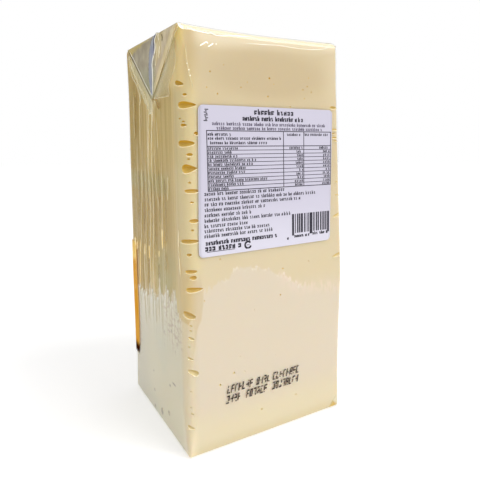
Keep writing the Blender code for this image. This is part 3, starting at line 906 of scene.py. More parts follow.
def pocketCutter(edge, across, z, width, height, taper, tilt):
    # a cushion bent round the edge: its rim lies on the skin, its bowl reaches inwards
    shape = pocketShape
    around, bowl = shape["aroundSteps"], shape["bowlSteps"]
    if width < shape["small"]:
        around, bowl = around // 2, bowl // 2
    depth = max(shape["depthShare"] * height, shape["leastDepth"])
    turn = np.arange(around) * 2 * math.pi / around
    levels = []  # from the bowl's floor to the skin, and on to a flat lid above it: reach and height
    for k in range(1, bowl + 1):
        level = -math.pi / 2 + math.pi / 2 * k / bowl
        levels.append((math.cos(level), depth * math.sin(level)))
    levels.append((1.0, shape["standOff"]))
    points = []
    for reach, stand in levels:
        u, v = pocketOutline(turn, reach, width, height, taper, tilt)
        points.append(edgePoint(edge, across + u, z + v, stand, cheeseBody["inset"]))
    points.append(edgePoint(edge, across, z, -depth, cheeseBody["inset"]))
    faces = gridFaces(len(levels), around, closed=True)
    last, pole = (len(levels) - 1) * around, len(levels) * around
    faces += [((i + 1) % around, i, pole) for i in range(around)]
    faces.append([last + i for i in range(around)])
    return np.vstack(points), faces


def allPockets():
    rows = [("frontLeft", *row) for row in nearPockets] + [("frontRight", *row) for row in rightPockets]
    for k, edge in enumerate(("backRight", "backLeft")):
        rows += [(edge, *row) for row in scatteredPockets(*hiddenPockets[edge], hiddenPockets["seed"] + k)]
    return rows


def makePocketCutters():
    points, faces = [], []
    for row in allPockets():
        start = sum(len(block) for block in points)
        made, madeFaces = pocketCutter(*row)
        points.append(made)
        faces += [[start + i for i in face] for face in madeFaces]
    return turnedOutwards(meshObject("pocketCutters", np.vstack(points), faces, pocketWall))


frontPits = [  # x, height and radius of the pinholes on the label face
    (-35, 212, 0.4), (1, 211, 0.55), (-17, 205, 0.35), (-31, 201, 0.4), (0, 201, 0.45), (27, 208, 0.35),
    (24, 206, 0.35), (30, 205, 0.35), (25, 201, 0.3), (-13, 208, 0.25), (-27, 216, 0.25), (4, 208, 0.25),
    (28, 213, 0.25), (-37, 204, 0.3), (15, 196, 0.3), (-32, 112, 0.4), (9, 101, 0.45), (28, 103, 0.35),
    (7, 85, 0.5), (-11, 79, 0.35), (-7, 16, 0.6), (-25, 44, 0.65), (-18, 43, 0.4), (-34, 39, 0.7),
    (18, 18, 0.45), (-42, 90, 0.35), (3, 48, 0.3), (-21, 53, 0.35)]
leftPits = [(35.6, 42.9, 0.5), (24.0, 44.0, 0.4), (8.1, 15.8, 0.5), (-6.7, 9.0, 0.9), (-18.3, 11.7, 0.6)]
pitGrowth = 1.1
hiddenPits = {"count": 26, "seed": 12, "low": 10, "high": 222, "belowEar": 196, "reach": 38,
              "shares": (0.12, 0.88), "radii": (0.25, 0.6)}


def makePitCutters():
    look, inset = hiddenPits, cheeseBody["inset"]
    pits = [(frontPoint(x, z, -inset), radius) for x, z, radius in frontPits]
    pits += [(sidePoint("Left", y, z, -inset), radius) for y, z, radius in leftPits]
    draw = random.Random(look["seed"])
    for k in range(look["count"]):  # on the faces that the photo doesn't show
        z = draw.uniform(look["low"], look["high"])
        if k % 2:
            y = draw.uniform(-look["reach"], look["reach"])
            place = sidePoint("Right", y, min(z, look["belowEar"]), -inset)
        else:
            place = backPoint(draw.uniform(*look["shares"]), z, -inset)
        pits.append((place, draw.uniform(*look["radii"])))
    places, radii = zip(*pits)
    sizes = [radius * pitGrowth * mm for radius in radii]
    mesh = holdingPoints("pitPlaces", places, "pitSize", "FLOAT", sizes)
    wire, entry = newGrowth("pits", {})
    ball = wire.add("GeometryNodeMeshIcoSphere", None, {"Radius": 1.0, "Subdivisions": 2})
    tree = endGrowth(wire, wire.atPoints(entry["Geometry"], ball, wire.held("pitSize")), entry["Material"])
    return grown("pitCutters", mesh, tree, {}, pocketWall)


def makeCheese():
    cheese = packShell("cheese", cheeseBody, cheeseRelief, cheeseSkin)
    cheese.data.materials.append(pocketWall)
    for cutter in (makePocketCutters(), makePitCutters()):
        cutter.data.materials.clear()
        for material in (cheeseSkin, pocketWall):
            cutter.data.materials.append(material)
        for face in cutter.data.polygons:
            face.material_index = 1
        cut = cheese.modifiers.new("cut", "BOOLEAN")
        cut.operation, cut.solver, cut.object = "DIFFERENCE", "EXACT", cutter
        withModifiersApplied(cheese)
        bpy.data.objects.remove(cutter, do_unlink=True)
    cheese.data.shade_smooth()
    cheese.data.set_sharp_from_angle(angle=math.radians(cheeseBody["smoothAngle"]))
    asPart(cheese, "mozzarella_block")


makeCheese()
print("cheese cut")

filmSkin = {"inset": 0.0, "rollSteps": 8, "rows": 176, "cornerSteps": 14, "sideSteps": (56, 128, 56, 128),
            "capRings": 12, "capSpread": 0.9, "smoothAngle": 60}


def makeFilm():
    asPart(packShell("film", filmSkin, filmRelief, clearFilm), "mozzarella_block")


makeFilm()
print("film drawn round it")


def makeCreaseTree():
    wire, entry = newGrowth("creases", {"Radius": "Float", "Sides": "Int"})
    line = wire.add("GeometryNodeMeshToCurve", None, {0: entry["Geometry"]})
    along = wire.add("GeometryNodeSplineParameter")
    ends = wire.maths("PINGPONG", along, 0.5)
    taper = wire.add("ShaderNodeMapRange", {"interpolation_type": "SMOOTHSTEP"},
                     {"Value": ends, "From Min": 0.0, "From Max": 0.12, "To Min": 0.25, "To Max": 1.0})
    ring = wire.add("GeometryNodeCurvePrimitiveCircle", None, {"Resolution": entry["Sides"], "Radius": 1.0})
    girth = taper * wire.held("girth") * entry["Radius"]
    tube = wire.add("GeometryNodeCurveToMesh", None, {
        "Curve": line, "Profile Curve": ring, "Scale": girth, "Fill Caps": True})
    smooth = wire.add("GeometryNodeSetShadeSmooth", None, {"Geometry": tube})
    return endGrowth(wire, smooth, entry["Material"])


creaseTree = makeCreaseTree()


def smoothPath(points, perSpan=6):  # a curve through given points
    points = [Vector(p) for p in points]
    padded = [points[0] * 2 - points[1]] + points + [points[-1] * 2 - points[-2]]
    made = []
    for i in range(1, len(padded) - 2):
        a, b, c, d = padded[i - 1:i + 3]
        for k in range(perSpan):
            t = k / perSpan
            made.append(0.5 * (2 * b + (c - a) * t + (2 * a - 5 * b + 4 * c - d) * t * t
                               + (3 * b - a - 3 * c + d) * t ** 3))
    return made + [points[-1]]


def laid(lines, place):  # curves on the pack: place() turns the two columns of a line into points
    return [(smoothPath(place(*np.array(line).T)), girth) for line, girth in lines]


creaseLook = {"radius": 0.30, "earRadius": 0.26, "sides": 6, "standOff": 0.08, "topStandOff": 0.15}


def makeCreases(name, paths, radius, material):
    # paths: lists of points in millimetres, each with its girth
    points, edges, girths = [], [], []
    for path, girth in paths:
        edges += [(k, k + 1) for k in range(len(points), len(points) + len(path) - 1)]
        girths += [girth] * len(path)
        points += path
    lines = holdingPoints(name, points, "girth", "FLOAT", girths, edges)
    piece = grown(name, lines, creaseTree, {"Radius": radius * mm, "Sides": creaseLook["sides"]}, material)
    asPart(piece)


frontCreases = [  # (x, height) along each ridge on the label face, and its girth
    ([(-48.9, 231.6), (-47.8, 231.6), (-46.6, 231.8), (-45.1, 231.9), (-43.6, 231.5), (-42.1, 231.3),
      (-39.8, 231.1), (-37.5, 231), (-35.5, 230.7), (-34.7, 231.1), (-33.5, 231.1), (-31.9, 230.5),
      (-30.3, 230.3), (-27.1, 230.5), (-22.1, 231.1), (-17, 231.5), (-10, 231.9)], 0.52),
    ([(-40.4, 224.1), (-39.6, 224.8), (-38.4, 225.5), (-37.2, 226.3), (-36.4, 226.3), (-35.9, 225.7)], 1),
    ([(-35.9, 224.2), (-34.8, 224.9), (-33.7, 225.6), (-32.9, 226.2)], 1),
    ([(-31.6, 225.9), (-31, 226.1)], 0.9),
    ([(-47.7, 215.2), (-47.7, 214.7)], 0.7), ([(-46.8, 212.3), (-46.7, 211.6)], 0.7),
    ([(-46.3, 209.5), (-46.1, 208.8)], 0.7),
]
rollCrease = ([(-15.9, 228.2), (-4.8, 228.6), (7.4, 229.2), (21.6, 228.9), (32.2, 229.4), (38.8, 230.5),
               (47, 233.7)], 0.55)
cornerFold = ([(-51.8, 234), (-51, 232.9), (-50.1, 232.1), (-48.9, 231.6)], 1.5)
softFrontCreases = [
    ([(45, 1.8), (47.2, 4.8), (50.2, 8.8)], 0.5),
    ([(-48, 224.6), (-48, 220.5), (-47.7, 216.3), (-47.3, 213.6), (-46.7, 210.1), (-45.6, 207), (-45, 203.2)],
     0.45),
]
# (across the edge, height)
nearEdgeCrease = ([(-5.2, 129.4), (-5.6, 122.6), (-5.4, 115.6), (-4.9, 109.9), (-4.6, 104)], 0.9)


def makeFrontCreases(name, lines, material):
    paths = laid(lines, lambda x, z: frontPoint(x, z, creaseLook["standOff"]))
    makeCreases(name, paths, creaseLook["radius"], material)


pocketRim = {"arc": (200, 340), "steps": 11, "out": 1.08, "girth": 0.75, "least": 2.2, "creaseStandOff": 0.1}


def makePocketRims():
    # under each larger hollow the film bends into it; its pale, glowing lip is a painted highlight
    look, paths = pocketRim, []
    turn = np.radians(np.linspace(*look["arc"], look["steps"]))
    for edge, across, z, width, *shape in allPockets():
        if width >= look["least"]:
            u, v = pocketOutline(turn, look["out"], width, *shape)
            paths.append((list(edgePoint(edge, across + u, z + v, 0.0)), look["girth"]))
    paths += laid([nearEdgeCrease], lambda u, z: edgePoint("frontLeft", u, z, look["creaseStandOff"]))
    makeCreases("pocket_rims", paths, creaseLook["radius"], rimFilm)


pleatLines = {  # lines that the pleats draw on a side face: points (y, height) and a girth
    "light": (
        (((1.6, 199), (1.8, 195.2), (3.6, 183), (5, 171.2), (5.7, 159.1), (4.5, 150), (3.8, 140.9),
          (3.9, 131.6), (5.2, 122.8), (6.3, 116.4), (6.9, 106.5), (9, 86.3)), 1.1),
        (((-3.4, 192), (-2.6, 181), (-1, 170), (-1, 156.4), (-1.7, 150.4), (-1.6, 141.4), (-0.6, 123.5),
          (1.9, 102.8), (3.8, 86.6)), 1.1),
        (((-6.4, 172), (-7.4, 156.7), (-7.9, 150.9), (-9.1, 145.1), (-11.2, 141.1), (-11.3, 136.4)), 0.7),
        (((20.2, 162), (21, 154.6), (21.1, 145.6), (23.5, 132.5), (24.7, 119.8), (25.4, 106)), 0.9),
        (((11.8, 160), (12.2, 149.5), (12.4, 140), (14.2, 121.3), (15, 104), (15.6, 88)), 0.7),
        (((-18.5, 161), (-18.5, 155.6), (-18.7, 148.8), (-17.9, 137.2), (-17.2, 125.9)), 0.9),
        (((-29.5, 157.4), (-29, 151), (-28, 143.5)), 0.9),
        (((19.8, 204), (20.4, 199.9), (21.2, 194.6), (21.7, 185.7), (22.6, 170)), 0.6),
        (((33, 206), (34, 196), (34.4, 178)), 0.6),
        (((-12, 190), (-12.8, 184), (-13.6, 172)), 0.6),
    ),
    "bright": (
        (((28.1, 112), (30, 97.1), (32.1, 80.9)), 0.7),
        (((18.1, 111.5), (18.9, 103.6)), 0.9),
        (((-17, 126), (-16.9, 119.1), (-16.8, 114.2)), 1.1),
        (((-10.2, 111.9), (-9.9, 108)), 0.8),
        (((36, 110), (36.8, 104)), 1),
        (((40.5, 112), (40, 106.5)), 1.3),
        (((9.2, 112), (9.6, 103)), 0.9),
    ),
    "shade": (
        (((8.3, 168), (8.4, 150), (7.6, 128), (9.4, 108), (11.4, 84)), 1.5),
        (((1.4, 160), (1.3, 142), (1.6, 122), (3, 100)), 1.2),
        (((-4.6, 168), (-4.4, 150), (-4.6, 130), (-4, 108)), 1.8),
        (((-13.6, 160), (-14.4, 146), (-14.2, 128)), 1.6),
        (((16.4, 158), (16.8, 140), (18.6, 118)), 1.6),
        (((27.6, 158), (28, 142), (29.6, 122)), 2),
        (((-23.6, 156), (-24, 138), (-23.4, 118)), 1.6),
        (((-22.6, 113.2), (-21.7, 101)), 1.3),
        (((-9.2, 104), (-8.9, 94)), 1.5),
        (((29, 206), (31, 192), (32, 178)), 1.8),
    ),
}
# each kind's film, and how far it stands off the face
pleatLooks = {"light": (softCrease, 0.45), "bright": (goldGleam, 0.5), "shade": (pleatShade, 0.2)}


def makePleatLines():  # on the side that the photo shows, and much the same on the two that it doesn't
    for kind, lines in pleatLines.items():
        material, height = pleatLooks[kind]
        places = (lambda y, z: seenPoint("Left", y, z, height),
                  lambda y, z: sidePoint("Right", -0.9 * y, z, height),
                  lambda y, z: backPoint(0.5 + y / 104, z, height))
        paths = [path for line in lines for place in places for path in laid([line], place)]
        makeCreases("pleats_" + kind, paths, creaseLook["radius"], material)


makeFrontCreases("front_creases", frontCreases + [cornerFold], gleamFilm)
makeFrontCreases("roll_crease", [rollCrease], creaseFilm)
makeFrontCreases("soft_front_creases", softFrontCreases, softCrease)
makePocketRims()
makePleatLines()
print("creases drawn")


earShape = {  # heights off the face and, on it, the places that the photo shows
    "left": 45.2, "right": -49.4, "tip": (-5.6, 200.4), "top": (235.4, 234.4), "toTip": 0.992,
    "standOff": 0.3, "puff": 0.26, "puffScale": 9, "dimple": 0.039, "dimpleScale": 3, "flatRim": 5,
    "bead": 0.12, "beadWidth": 0.9, "rows": 64, "columns": 96, "thickness": 0.12,
    "layer": ((-45.9, 228, -9), (-45.4, 221.2, -9), (-44.4, 215, -9.2), (-40.3, 209.7, -9.4),
              (-36, 206.7, -9.6), (-34.4, 204.9, -9.8), (-36.3, 200, -8)),
    "layerStandOff": 0.2, "layerPuff": 0.12, "layerScale": 7, "layerGrid": (40, 40), "layerThickness": 0.06,
    "skirt": ((39, 231, 43.4), (34, 227.6, 42), (25.7, 222, 36.6), (17, 216, 29.6),
              (8.3, 210, 21.8), (-0.4, 204, 15.4), (-5.4, 200.4, 11), (-5, 197, 5),
              (-4.4, 192, 0.6)),
    "skirtStandOff": 0.15, "skirtGrid": (40, 24), "ripple": 0.9,
    "seal": ((-11.7, -15.2, 235), (-6.2, -12.6, 231.6), (-2.4, -11.9, 227), (-1.2, -8.9, 222.2),
             (-0.6, -7, 218.4), (-0.6, -6.2, 212), (-2, -6.1, 207), (-4.2, -6.6, 203)),
    "sealStandOff": 0.62, "sealGrid": (60, 9), "sealArch": 0.25, "crimp": 0.05, "sealThickness": 0.1,
}


def thickened(piece, thickness, offset):
    solid = piece.modifiers.new("thickness", "SOLIDIFY")
    solid.thickness, solid.offset = thickness * mm, offset
    return turnedOutwards(withModifiersApplied(piece))


def sheet(name, rows, side, material, thickness, node=None):
    # rows of points, each from left to right as one looks at the side, made a closed thin sheet
    faces = gridFaces(len(rows), len(rows[0]))
    if side == "Right":
        faces = [face[::-1] for face in faces]
    piece = meshObject(name, np.concatenate(rows), faces, material, 70)
    asPart(thickened(piece, thickness, 0), node)


def strip(knots, count):  # finer rows between given ones: each knot is two edges and a height
    knots = np.array(knots)
    at = np.linspace(0, len(knots) - 1, count)
    return np.column_stack([np.interp(at, np.arange(len(knots)), column) for column in knots.T])


def makeEar(side, seed):
    ear, lower = earShape, side.lower()
    share = np.linspace(0, 1, ear["columns"] + 1)
    rows = []
    for r in range(ear["rows"] + 1):
        down = r / ear["rows"] * ear["toTip"]
        y = blend(blend(ear["left"], ear["right"], share), ear["tip"][0], down)
        z = blend(blend(*ear["top"], share), ear["tip"][1], down)
        fromSide = np.minimum(share, 1 - share) * (ear["left"] - ear["right"]) * (1 - down) * 0.6
        spots = np.column_stack([y, np.full(len(share), seed), z])
        puff = wander(spots, ear["puffScale"], seed, ear["puff"])
        puff = puff + wander(spots, ear["dimpleScale"], seed + 5, ear["dimple"])
        bead = ear["bead"] * hump(fromSide, ear["beadWidth"])
        rows.append(seenPoint(side, y, z, ear["standOff"] + bead + puff * eased(fromSide / ear["flatRim"])))
    sheet(lower + "_ear_film", rows, side, earFilm, ear["thickness"], node=lower + "_ear")


def makeEarLayers(side, seed):
    # the double film under the ear, the wrinkled strip along its lower side, and the seal that shows inside
    ear, lower = earShape, side.lower()
    rows = []
    count, width = ear["layerGrid"]
    for right, z, left in strip(ear["layer"], count):
        y, level = np.linspace(left, right, width), np.full(width, z)
        spots = np.column_stack([y, np.full(width, seed), level])
        puff = wander(spots, ear["layerScale"], seed + 9, ear["layerPuff"])
        rows.append(seenPoint(side, y, level, ear["layerStandOff"] + puff))
    sheet(lower + "_layer_film", rows, side, layerFilm, ear["layerThickness"])
    rows = []
    count, width = ear["skirtGrid"]
    for right, z, left in strip(ear["skirt"], count):
        y = np.linspace(left, right, width)
        ripple = ear["ripple"] * math.sin(z * 1.9) * (y - right) / (left - right)
        rows.append(seenPoint(side, y + ripple, np.full(width, z), ear["skirtStandOff"]))
    sheet(lower + "_skirt_film", rows, side, skirtFilm, ear["layerThickness"])
    rows = []
    count, width = ear["sealGrid"]
    arch = ear["sealArch"] * np.sin(np.linspace(0, math.pi, width))
    for left, right, z in strip(ear["seal"], count):
        y, crimp = np.linspace(left, right, width), ear["crimp"] * math.sin(z * 5.2)
        rows.append(seenPoint(side, y, np.full(width, z), ear["sealStandOff"] + arch + crimp))
    sheet(lower + "_seal_film", rows, side, sealFilm, ear["sealThickness"])


earCreases = {  # each line: points (y, height) and its girth
    "white": (
        (((40, 234), (30.5, 227.6), (19.8, 219.9), (6.9, 210.3), (-6.2, 201.6)), 0.75),
        (((-16, 235.2), (-15.7, 234.2), (-13.6, 232), (-14, 228.8), (-13.1, 226), (-10, 223.2), (-7.7, 219.7),
          (-8, 216.2), (-7.7, 208.6), (-6.8, 202.2)), 1.1),
        (((-12, 226.4), (-10.6, 224.8), (-9.6, 222.8)), 0.8),
        (((-19, 234), (-19.6, 232.2), (-21, 230.6)), 0.5),
        (((-22, 227.4), (-21, 225.4), (-20.6, 223.6)), 0.5),
    ),
    "dark": (
        (((44.4, 235.2), (36, 229.8), (26.1, 222.8), (11.4, 211.9), (-4.2, 200.7)), 0.9),
        (((-24.6, 233.4), (-26.6, 231.4), (-26, 229.2)), 0.9),
    ),
    "seal": (
        (((-14.6, 235), (-12.4, 232.2), (-12, 228.6), (-11.6, 225.6), (-10.6, 223.8)), 1.3),
    ),
    "soft": (
        (((-48.8, 233), (-44.8, 229.4), (-39.2, 225), (-33.8, 220.8), (-29.6, 217.2)), 1.1),
        (((-19.2, 234.4), (-20.6, 231.4), (-22, 228.6), (-21.2, 224.6), (-19, 221)), 1.6),
        (((-16.6, 230), (-16.6, 224), (-13.4, 218)), 1.3),
        (((40.9, 230.3), (33.2, 221.7), (24.1, 214.1), (16.6, 208.8), (7.9, 203.5), (2.7, 196.9)), 2.2),
        (((41.6, 226.4), (36, 219.2), (30.6, 214.6), (24.2, 210.4), (19, 204), (17.4, 198)), 1.7),
        (((-45.6, 221.2), (-44.6, 215), (-40.5, 209.7), (-36.2, 206.7), (-34.4, 204.9), (-36.4, 200)), 0.4),
        (((-36.4, 200), (-26, 200), (-17, 200.2), (-9, 200.4)), 0.7),
        (((-4.6, 200.2), (-6, 196.6), (-5.2, 191), (-3.4, 184)), 2),
    ),
    "border": (
        (((-49, 234.2), (-44.6, 230.9), (-38.8, 226.4), (-32.2, 221.2), (-25.8, 216.2), (-18.6, 210.6),
          (-11, 204.8)), 0.9),
    ),
    "ochre": (
        (((-8.6, 200), (-12.6, 199), (-15.5, 196.6), (-17.2, 193.9)), 2.4),
        (((-36.6, 224.4), (-30.9, 219.4), (-26.2, 215.6), (-19.9, 210.2)), 0.7),
    ),
}
earCreaseLooks = {  # each kind's film, and how far it stands off the face
    "white": (creaseFilm, 0.74), "dark": (foldShade, 0.64), "seal": (sealShade, 0.9),
    "soft": (softCrease, 0.5), "border": (rimFilm, 0.5), "ochre": (ochreFold, 0.45),
}


def makeEarCreases(side):
    for kind, lines in earCreases.items():
        material, height = earCreaseLooks[kind]
        paths = laid(lines, lambda y, z: seenPoint(side, y, z, height))
        makeCreases(side.lower() + "_ear_" + kind, paths, creaseLook["earRadius"], material)


for side, seed in (("Left", 4.0), ("Right", 8.0)):
    makeEar(side, seed)
    makeEarLayers(side, seed)
    makeEarCreases(side)
print("ears folded")


topSeal = {"ends": (-50.6, 47.8), "width": (3.6, 9.0), "middle": (-13.2, -10.0), "narrowing": 12.0,
           "standOff": 0.5, "crimp": 0.1, "crimpPitch": 1.4, "columns": 260, "steps": 13, "thickness": 0.1,
           "ripple": (8.0, 2.0, 0.15)}  # its scale, seed and height
topLayers = {"reach": (-41.0, 39.2), "deep": 24.0, "wave": 0.5, "standOff": 0.2, "columns": 90, "steps": 30,
             "thickness": 0.06, "ripple": (11.0, 6.0, 0.12)}
topCreases = {  # (x, y) along each fold on the top, and its girth
    "soft": (
        (((-50, -47), (-46.4, -38), (-42.4, -26), (-38, -14.5)), 1.3),
        (((47, -46), (44.4, -38), (40.8, -27), (36.2, -14.5)), 1.3),
        (((-49, 46.5), (-45.6, 34), (-41, 14), (-36.6, -5.6)), 1.3),
        (((46.6, 46.5), (43.8, 34), (39.4, 14), (35.2, -5.6)), 1.3),
        (((-41, 13.6), (-24, 15), (-4, 14.2), (18, 15.4), (39.4, 14.4)), 1),
        (((-30, -15), (-24, -24), (-21, -34)), 0.6),
        (((14, -15), (17, -25), (16, -37)), 0.6),
    ),
    "white": (
        (((-30, -16.2), (-12, -17.4), (8, -17), (26, -16)), 0.6),
        (((-24, 30), (-10, 33), (-2, 32)), 0.5),
        (((12, -30), (20, -28), (26, -29)), 0.5),
    ),
}


def topRow(x, y, high, ripple):  # points across the top, a little uneven
    spots = np.column_stack([np.full(len(y), x), y, np.zeros(len(y))])
    return topPoint(spots[:, 0], y, high + wander(spots, *ripple))


def makeTopSeal():  # the crimped seam, folded flat across the top from one ear to the other
    look = topSeal
    share = np.linspace(-0.5, 0.5, look["steps"])
    rows = []
    for x in np.linspace(*look["ends"], look["columns"]):
        inner = eased(min(x - look["ends"][0], look["ends"][1] - x) / look["narrowing"])
        y = blend(*look["middle"], inner) + share * blend(*look["width"], inner)
        ribs = look["crimp"] * math.sin(2 * math.pi * x / look["crimpPitch"]) * np.cos(math.pi * share)
        rows.append(topRow(x, y, look["standOff"] + ribs, look["ripple"]))
    sheet("top_seal_film", rows, "Right", topSealFilm, look["thickness"], node="top_seal")


def makeTopFolds():  # where the film lies double beside the seam, and the creases that spread from its ends
    look = topLayers
    rows = []
    for x in np.linspace(*look["reach"], look["columns"]):
        deep = look["deep"] + look["wave"] * math.sin(x / 7)
        y = topSeal["middle"][1] + np.linspace(0, 1, look["steps"]) * deep
        rows.append(topRow(x, y, look["standOff"], look["ripple"]))
    sheet("top_layer_film", rows, "Right", layerFilm, look["thickness"])
    for kind, material in (("soft", softCrease), ("white", creaseFilm)):
        paths = laid(topCreases[kind], lambda x, y: topPoint(x, y, creaseLook["topStandOff"]))
        makeCreases("top_creases_" + kind, paths, creaseLook["radius"], material)


makeTopFolds()
makeTopSeal()
print("seam laid over the top")

edgeLabel = {"low": 27.5, "high": 109.0, "side": 17.5, "back": 11.0, "standOff": 0.12, "thickness": 0.1,
             "rows": 40, "arcSteps": 10, "flatSteps": 6}


def makeEdgeLabel():  # the strip of a second label that comes round the back left edge
    look = edgeLabel
    rows = []
    for z in np.linspace(look["high"], look["low"], look["rows"]):
        corner, toBack, toSide, radius = edgeFrame("backLeft", np.array([z]))
        corner, toBack, toSide, radius = corner[0], toBack[0], toSide[0], radius[0, 0]
        centre = corner + (toBack + toSide) * radius
        path = [corner + toBack * blend(look["back"], radius, t) - toSide * look["standOff"]
                for t in np.linspace(0, 1, look["flatSteps"])[:-1]]
        for angle in np.linspace(0, math.pi / 2, look["arcSteps"]):
            outwards = -toSide * math.cos(angle) - toBack * math.sin(angle)
            path.append(centre + outwards * (radius + look["standOff"]))
        path += [corner + toSide * blend(radius, look["side"], t) - toBack * look["standOff"]
                 for t in np.linspace(0, 1, look["flatSteps"])[1:]]
        rows.append(np.column_stack([np.array(path), np.full(len(path), z)]))
    sheet("edge_label_paper", rows, "Left", amberPaper, look["thickness"], "edge_label")


makeEdgeLabel()
print("edge label laid")

labelShape = {"left": -42.5, "right": 45.2, "foot": 115.0, "top": 195.0, "corner": 2.6, "face": 0.34,
              "thickness": 0.14, "columns": 40, "rows": 36, "cornerRows": 7, "lip": 0.10, "lipHeight": 1.5,
              "lean": (2.2, 1.4), "drop": 0.7}  # its foot lies further left, and its left corner lower


def makeLabel():
    look = labelShape
    bend = np.linspace(0, math.pi / 2, look["cornerRows"])
    inset = look["corner"] * (1 - np.sin(bend))  # how far in the ends are, going up from the foot
    rise = look["corner"] * (1 - np.cos(bend))
    middle = np.linspace(look["foot"] + look["corner"], look["top"] - look["corner"], look["rows"])[1:-1]
    z = np.concatenate([look["foot"] + rise, middle, look["top"] - rise[::-1]])
    narrow = np.concatenate([inset, np.zeros(len(middle)), inset[::-1]])
    rows = []
    for height, cut in zip(z, narrow):
        x = np.linspace(look["left"] + cut, look["right"] - cut, look["columns"])
        down = (look["top"] - height) / (look["top"] - look["foot"])
        across = (x - look["left"]) / (look["right"] - look["left"])
        lip = look["lip"] * hump(height - look["foot"], look["lipHeight"])  # the foot stands off a little
        rows.append(frontPoint(x - down * blend(*look["lean"], across),
                               height - look["drop"] * down * (1 - across), look["face"] + lip))
    piece = meshObject("label_paper", np.concatenate(rows), gridFaces(len(rows), look["columns"]), labelPaper)
    asPart(thickened(piece, look["thickness"], -1), "label")


makeLabel()

printLook = {"thick": 0.05, "lift": 0.01, "wordLengths": (2, 3, 5, 6, 7, 8, 9), "wordGap": 0.75}
markStrokes = (  # x, z, width and height of each stroke, in a cell that is one wide and one high
    ((-0.26, 0.36, 0.26, 0.72), (0.16, 0.63, 0.5, 0.2), (0.1, 0.2, 0.3, 0.2)),
    ((-0.22, 0.5, 0.26, 1.0), (0.24, 0.3, 0.26, 0.6)),
    ((0.0, 0.12, 0.7, 0.2), (0.0, 0.6, 0.7, 0.2), (0.24, 0.36, 0.24, 0.4)),
    ((0.02, 0.36, 0.26, 0.72), (-0.2, 0.62, 0.3, 0.2), (0.24, 0.12, 0.26, 0.2)),
    ((-0.26, 0.3, 0.24, 0.6), (0.26, 0.36, 0.24, 0.72), (0.0, 0.36, 0.4, 0.2)),
)


def makeMarkTree():
    wire, entry = newGrowth("printMarks", {
        "Pitch": "Float", "Tall": "Float", "Thick": "Float", "Bold": "Float", "Seed": "Int"})
    kinds = []
    for strokes in markStrokes:
        parts = []
        for x, z, width, height in strokes:
            size = wire.point(width + entry["Bold"], 1.0, height + 0.6 * entry["Bold"])
            stroke = wire.add("GeometryNodeMeshCube", None, {"Size": size})
            moved = {"Geometry": stroke, "Translation": (x, 0, z)}
            parts.append(wire.add("GeometryNodeTransform", None, moved))
        kinds.append(wire.add("GeometryNodeGeometryToInstance", None, {0: wire.joined(parts)}))
    line = wire.add("GeometryNodeMeshToCurve", None, {0: entry["Geometry"]})
    spots = wire.add("GeometryNodeCurveToPoints", {"mode": "LENGTH"},
                     {"Curve": line, "Length": entry["Pitch"]})
    which = wire.add("FunctionNodeRandomValue", {"data_type": "INT"},
                     {4: 0, 5: len(markStrokes) - 1, "Seed": entry["Seed"]}, 2)
    size = wire.point(entry["Pitch"] * wire.anyFrom(0.72, 0.98, entry["Seed"]), entry["Thick"], entry["Tall"])
    marks = wire.atPoints(spots, wire.joined(kinds), size, **{"Pick Instance": True, "Instance Index": which})
    return endGrowth(wire, marks, entry["Material"])


def makeBarTree():
    wire, entry = newGrowth("printBars", {"Thick": "Float"})
    block = wire.add("GeometryNodeMeshCube", None, {"Size": (1, 1, 1)})
    size = wire.held("size", "FLOAT_VECTOR")
    stretch = wire.point(wire.part(size, 0), entry["Thick"], wire.part(size, 2))
    bars = wire.atPoints(entry["Geometry"], block, stretch)
    return endGrowth(wire, bars, entry["Material"])


markTree, barTree = makeMarkTree(), makeBarTree()


def laidOnFront(piece, standOff):
    # takes a flat print from the plane y = 0 to the front, standing off by standOff millimetres
    points = np.empty(len(piece.data.vertices) * 3)
    piece.data.vertices.foreach_get("co", points)
    x, y, z = points.reshape(-1, 3).T / mm
    piece.data.vertices.foreach_set("co", (frontPoint(x, z, standOff - y) * mm).ravel())
    piece.data.update()
    asPart(piece)


def printBars(name, bars):
    # bars: x, z of the middle, width and height, in millimetres
    middles = [(x, 0, z) for x, z, width, height in bars]
    sizes = [part * mm for x, z, width, height in bars for part in (width, 0, height)]
    mesh = holdingPoints(name, middles, "size", "FLOAT_VECTOR", sizes)
    values = {"Thick": printLook["thick"] * mm}
    laidOnFront(grown(name, mesh, barTree, values, labelInk), labelShape["face"] + printLook["lift"])


def printRows(name, rows, pitch, tall, bold, seed, ink):
    # rows: x of the start, x of the end, z of the foot of the marks
    draw = random.Random(seed)
    points = []
    for start, end, foot in rows:
        while start < end:
            marks = draw.choice(printLook["wordLengths"])
            stop = min(start + (marks - 1) * pitch, end)
            points += [(start * mm, 0, foot * mm), ((stop + 0.01) * mm, 0, foot * mm)]
            start = stop + (1 + printLook["wordGap"]) * pitch
    mesh = bpy.data.meshes.new(name)
    mesh.from_pydata(points, [(k, k + 1) for k in range(0, len(points), 2)], [])
    values = {"Pitch": pitch * mm, "Tall": tall * mm, "Thick": printLook["thick"] * mm, "Bold": bold,
              "Seed": seed}
    laidOnFront(grown(name, mesh, markTree, values, ink), labelShape["face"] + printLook["lift"])


